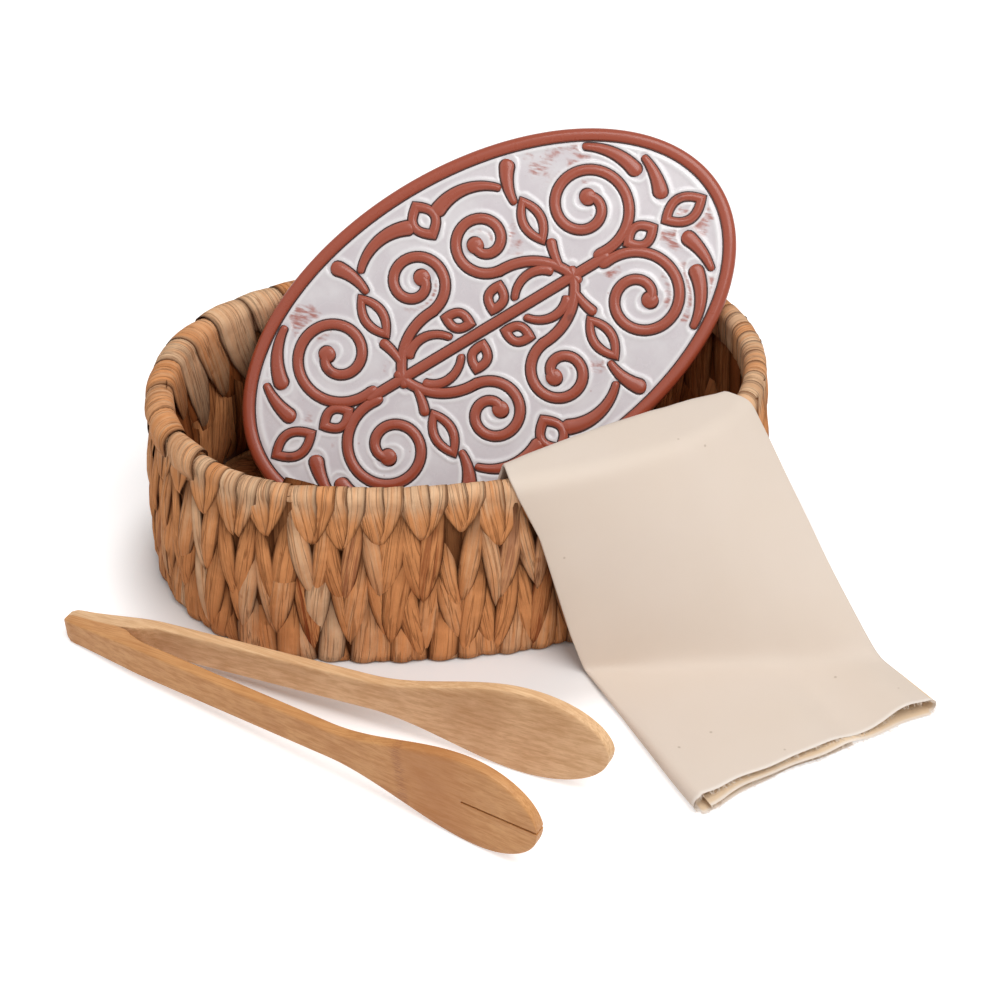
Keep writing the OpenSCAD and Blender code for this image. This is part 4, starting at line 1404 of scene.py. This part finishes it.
def limb_points(side):
    """One side of the tongs, from the middle of the handle's end to the paddle's tip: a rounded section
    whose outer face runs straight at the open angle, and whose inner face starts on the middle line, bends
    away at the throat and then keeps the arm's thickness. Its outline is cosine and sine, each to a low
    power, which squares it."""
    straight = np.linspace(0, BOWL_X, 90)
    length = TONG_L - (FRONT_WORN if side < 0 else 0)
    bowl = BOWL_X + (length - BOWL_X) * np.sin(np.linspace(0, math.pi / 2, 25))[1:]
    x = np.concatenate([straight, bowl])
    slim = 1 - smooth(x / THROAT_L)
    nose = np.sqrt(1 - (1 - np.clip(x / NOSE_L, 0, 1)) ** 2)
    outer = (ROOT_W / 2 - END_SLIM * slim) * (0.7 + 0.3 * nose) + x * math.tan(OPEN_A)
    blade = outer - ARM_T / math.cos(OPEN_A)
    scoop = smooth((x - WEB_L + 0.006) / 0.022)
    inner = blade * scoop
    half = arm_half(x, length)
    thick = (outer - inner) / 2
    middle = (outer + inner) / 2
    turn = np.linspace(0, 2 * math.pi, 29)[:-1] + math.pi / 28
    across = np.sign(np.cos(turn)) * np.abs(np.cos(turn)) ** SECTION_POWER
    height = np.sign(np.sin(turn)) * np.abs(np.sin(turn)) ** SECTION_POWER
    joined = (across[None, :] < 0) & (scoop[:, None] < 0.5)
    flush = np.where(joined, np.sign(across)[None, :], across[None, :])
    y = middle[:, None] + thick[:, None] * flush
    grip = half * (1 - END_LOW * slim) * (0.85 + 0.15 * nose)
    bed = half * END_LOW * slim
    z = grip[:, None] * height[None, :] - bed[:, None]
    local = np.stack([x[:, None] + 0 * z, side * y, z], -1)
    pole = np.broadcast_to(local[:1].mean(1, keepdims=True), local[:1].shape)
    return np.concatenate([pole, local])


def tong_turn():
    """The turn from the tongs' own frame to the table's."""
    return np.array(Matrix.Rotation(TONG_TURN, 3, "Z") @ Matrix.Rotation(-ARM_TILT, 3, "Y"))


def tong_place(points):
    """Moves points from the tongs' own frame to where they lie on the table."""
    return points @ tong_turn().T + np.array((*TONG_AT, ARM_LIFT))


def mark_fibres(limb, side):
    """Gives each point of a finished limb the place that the bamboo reads, in millimetres: its height, set
    apart for the two sides, its length along the tongs and its distance from their middle."""
    mesh = limb.data
    points = np.empty(3 * len(mesh.vertices))
    mesh.vertices.foreach_get("co", points)
    local = (points.reshape(-1, 3) - np.array((*TONG_AT, ARM_LIFT))) @ tong_turn() / MM
    place = np.stack([local[:, 2] + SIDE_APART * side, local[:, 0], side * local[:, 1]], -1)
    mark = mesh.attributes.new("place", "FLOAT_VECTOR", "POINT")
    mark.data.foreach_set("vector", place.ravel())


def bamboo_material(look):
    """Planed bamboo: fine dark fibres along the arm. The front arm is darkened all over as painted shade,
    and has a warm flush on its paddle and a brown band where the cane had a node."""
    material, tree, shader = new_material("bamboo", 0.5, Specular_IOR_Level=0.4)
    place = attribute(tree, "place")
    fibres = use_group(tree, "Fibres", Place=place, Ribs=2.2)
    streak, ribs = fibres.outputs["Streak"], fibres.outputs["Height"]
    cloud = use_group(tree, "Mottle", Size=0.02, Speck_Share=0.1).outputs["Cloud"]
    height, along, _ = part_of(tree, place)
    body = mix(tree, spread(tree, streak, 0.35, 0.7, 0.0, 0.5), look.bamboo, look.grain)
    body = mix(tree, spread(tree, ribs, 0.45, 0.75, 0.0, 0.35), body, look.grain)
    body = mix(tree, spread(tree, cloud, 0.4, 0.7, 0.0, 0.3), body, look.grain)
    front = math_node(tree, "LESS_THAN", height, 0.0)
    # Painted shade over the whole front arm
    body = mix(tree, front, body, look.front_shade, "MULTIPLY")
    wander = times(tree, math_node(tree, "SUBTRACT", cloud, 0.5), 14.0)
    where = math_node(tree, "ADD", along, wander)
    flush = times(tree, front, spread(tree, off_from(tree, where, FLUSH_AT), 4.0, 34.0, 0.6, 0.0))
    body = mix(tree, flush, body, look.flush)
    band = times(tree, front, spread(tree, off_from(tree, where, NODE_AT), 1.0, 5.0, 0.75, 0.0))
    band = times(tree, band, spread(tree, ribs, 0.35, 0.65, 0.15, 1.0))
    body = mix(tree, band, body, look.node_band)
    paint(tree, shader, body, spread(tree, streak, 0.3, 0.7, 0.42, 0.58))
    bump(tree, shader, ribs, 0.15, 0.0003)
    return material


def cut_slit(piece):
    """Saws the slit into the front paddle with a thin cutter, which is then removed."""
    ends = (TONG_L - SLIT_L, TONG_L + 0.004)
    corner = np.array([(x, y, z) for x in ends for y in (-1, 1) for z in (-1, 1)])
    corner[:, 1] = -ROOT_W / 2 - corner[:, 0] * math.tan(OPEN_A) + 0.02 * corner[:, 1]
    corner[:, 2] *= SLIT_W / 2
    quads = np.array([(0, 1, 3, 2), (4, 6, 7, 5), (0, 4, 5, 1), (2, 3, 7, 6), (0, 2, 6, 4), (1, 5, 7, 3)])
    cutter = new_piece("slit_cutter", tong_place(corner), quads, piece.data.materials[0])
    weld(cutter)
    saw = piece.modifiers.new("slit", "BOOLEAN")
    saw.operation = "DIFFERENCE"
    saw.object = cutter
    bpy.context.view_layer.objects.active = piece
    bpy.ops.object.modifier_apply(modifier=saw.name)
    bpy.data.objects.remove(cutter)


class BASKET_OT_tongs(bpy.types.Operator):
    """Shapes the two sides of the bamboo tongs, which flex at the throat"""

    bl_idname = "basket.tongs"
    bl_label = "Bamboo Tongs"

    def execute(self, context):
        bamboo = bamboo_material(context.scene.tong_look)
        for side, name, node, body in ((-1, "front_limb", "tong_arm_front", "front_arm"),
                                       (1, "back_limb", "tong_arm_back", "back_arm")):
            local = limb_points(side)
            faces = grid_faces(*local.shape[:2], ring=True)
            limb = new_piece(name, tong_place(local.reshape(-1, 3)), faces, bamboo)
            weld(limb, 35)
            if side < 0:
                cut_slit(limb)
                weld(limb, 35)
            mark_fibres(limb, side)
            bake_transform(limb)
            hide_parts(node, "tong_handle")
        return {"FINISHED"}


def facing(at, aim):
    """The turn of a camera or a lamp that looks from one point towards another."""
    return (Vector(aim) - Vector(at)).to_track_quat("-Z", "Y").to_euler()


class BASKET_OT_stage(bpy.types.Operator):
    """Sets the camera, the floor and the light"""

    bl_idname = "basket.stage"
    bl_label = "Stage"

    def execute(self, context):
        look = context.scene.stage_look
        scene = context.scene
        scene.view_settings.view_transform = "Standard"
        camera = bpy.data.objects.new("camera", bpy.data.cameras.new("camera"))
        scene.collection.objects.link(camera)
        camera.data.sensor_width = SENSOR_W
        camera.data.lens = LENS
        camera.location = CAMERA_AT
        camera.rotation_euler = facing(CAMERA_AT, CAMERA_AIM)
        scene.camera = camera
        self.lay_floor(look)
        self.hang_light("key_light", look.key_power, KEY_SIZE, KEY_AT)
        self.hang_light("fill_light", look.fill_power, FILL_SIZE, FILL_AT)
        world = bpy.data.worlds.new("even_light")
        world.use_nodes = True
        sky = world.node_tree.nodes["Background"]
        sky.inputs["Color"].default_value = (1, 1, 1, 1)
        white = spread(world.node_tree, self.seen_directly(world.node_tree), 0.0, 1.0, look.sky, 1.0)
        world.node_tree.links.new(white, sky.inputs["Strength"])
        scene.world = world
        return {"FINISHED"}

    def seen_directly(self, tree):
        """1 for what is seen straight, in a gloss or through glass, and 0 for light on the object."""
        path = add(tree, "ShaderNodeLightPath")
        direct = math_node(tree, "MAXIMUM", path.outputs["Is Camera Ray"], path.outputs["Is Glossy Ray"])
        return math_node(tree, "MAXIMUM", direct, path.outputs["Is Transmission Ray"])

    def lay_floor(self, look):
        """A wide flat floor, a hair below the table height. It glows white as it is seen, from an oval round
        the object outwards, where no shadow falls, and more towards the horizon."""
        corners = ((-1, -1), (1, -1), (1, 1), (-1, 1))
        side = np.array([(x * FLOOR_HALF, y * FLOOR_HALF, FLOOR_Z) for x, y in corners])
        material, tree, shader = new_material("pale_floor", 0.9, Specular_IOR_Level=0.1)
        shader.inputs["Base Color"].default_value = (*look.floor, 1)
        x, y, _ = part_of(tree, add(tree, "ShaderNodeTexCoord").outputs["Object"])
        deep = times(tree, math_node(tree, "ADD", y, GLOW_BACK), GLOW_STRETCH)
        square = math_node(tree, "ADD", times(tree, x, x), times(tree, deep, deep))
        away = math_node(tree, "SQRT", square)
        clear = spread(tree, away, *NEAR_GLOW, 0.0, look.floor_glow)
        clear = math_node(tree, "ADD", clear, spread(tree, away, *FAR_GLOW, 0.0, 0.5))
        glow = times(tree, self.seen_directly(tree), clear)
        shader.inputs["Emission Color"].default_value = (1, 1, 1, 1)
        tree.links.new(glow, shader.inputs["Emission Strength"])
        floor = new_piece("floor", side, np.array([(0, 1, 2, 3)]), material)

    def hang_light(self, name, power, size, place):
        """A square lamp aimed at the middle of the object."""
        lamp = bpy.data.lights.new(name, "AREA")
        lamp.energy = power
        lamp.size = size
        light = bpy.data.objects.new(name, lamp)
        light.location = place
        light.rotation_euler = facing(place, LAMP_AIM)
        bpy.context.scene.collection.objects.link(light)


class BASKET_PT_panel(bpy.types.Panel):
    """Lists the settings and the pieces"""

    bl_label = "Bread Warmer Basket"
    bl_idname = "BASKET_PT_panel"
    bl_space_type = "VIEW_3D"
    bl_region_type = "UI"
    bl_category = "Basket"

    def draw(self, context):
        for name, settings in SETTINGS.items():
            box = self.layout.box()
            for key in settings.__annotations__:
                box.prop(getattr(context.scene, name), key)
        for piece in PIECES:
            self.layout.operator(piece.bl_idname)


SETTINGS = {"basket_look": BasketSettings, "tile_look": TileSettings, "cloth_look": ClothSettings,
            "tong_look": TongSettings, "stage_look": StageSettings}
PIECES = (BASKET_OT_stage, BASKET_OT_wall, BASKET_OT_rim, BASKET_OT_base, BASKET_OT_wires, BASKET_OT_tile,
          BASKET_OT_cloth, BASKET_OT_tongs)


def register():
    """Registers the settings, the operators and the panel."""
    for name, settings in SETTINGS.items():
        bpy.utils.register_class(settings)
        setattr(bpy.types.Scene, name, PointerProperty(type=settings))
    for piece in PIECES:
        bpy.utils.register_class(piece)
    bpy.utils.register_class(BASKET_PT_panel)


def unregister():
    """Removes the panel, the operators and the settings."""
    bpy.utils.unregister_class(BASKET_PT_panel)
    for piece in reversed(PIECES):
        bpy.utils.unregister_class(piece)
    for name, settings in SETTINGS.items():
        delattr(bpy.types.Scene, name)
        bpy.utils.unregister_class(settings)


def main():
    """Builds every piece in order."""
    register()
    bpy.ops.basket.stage()
    bpy.ops.basket.wall()
    bpy.ops.basket.rim()
    bpy.ops.basket.base()
    bpy.ops.basket.wires()
    bpy.ops.basket.tile()
    bpy.ops.basket.cloth()
    bpy.ops.basket.tongs()


if __name__ == "__main__":
    main()
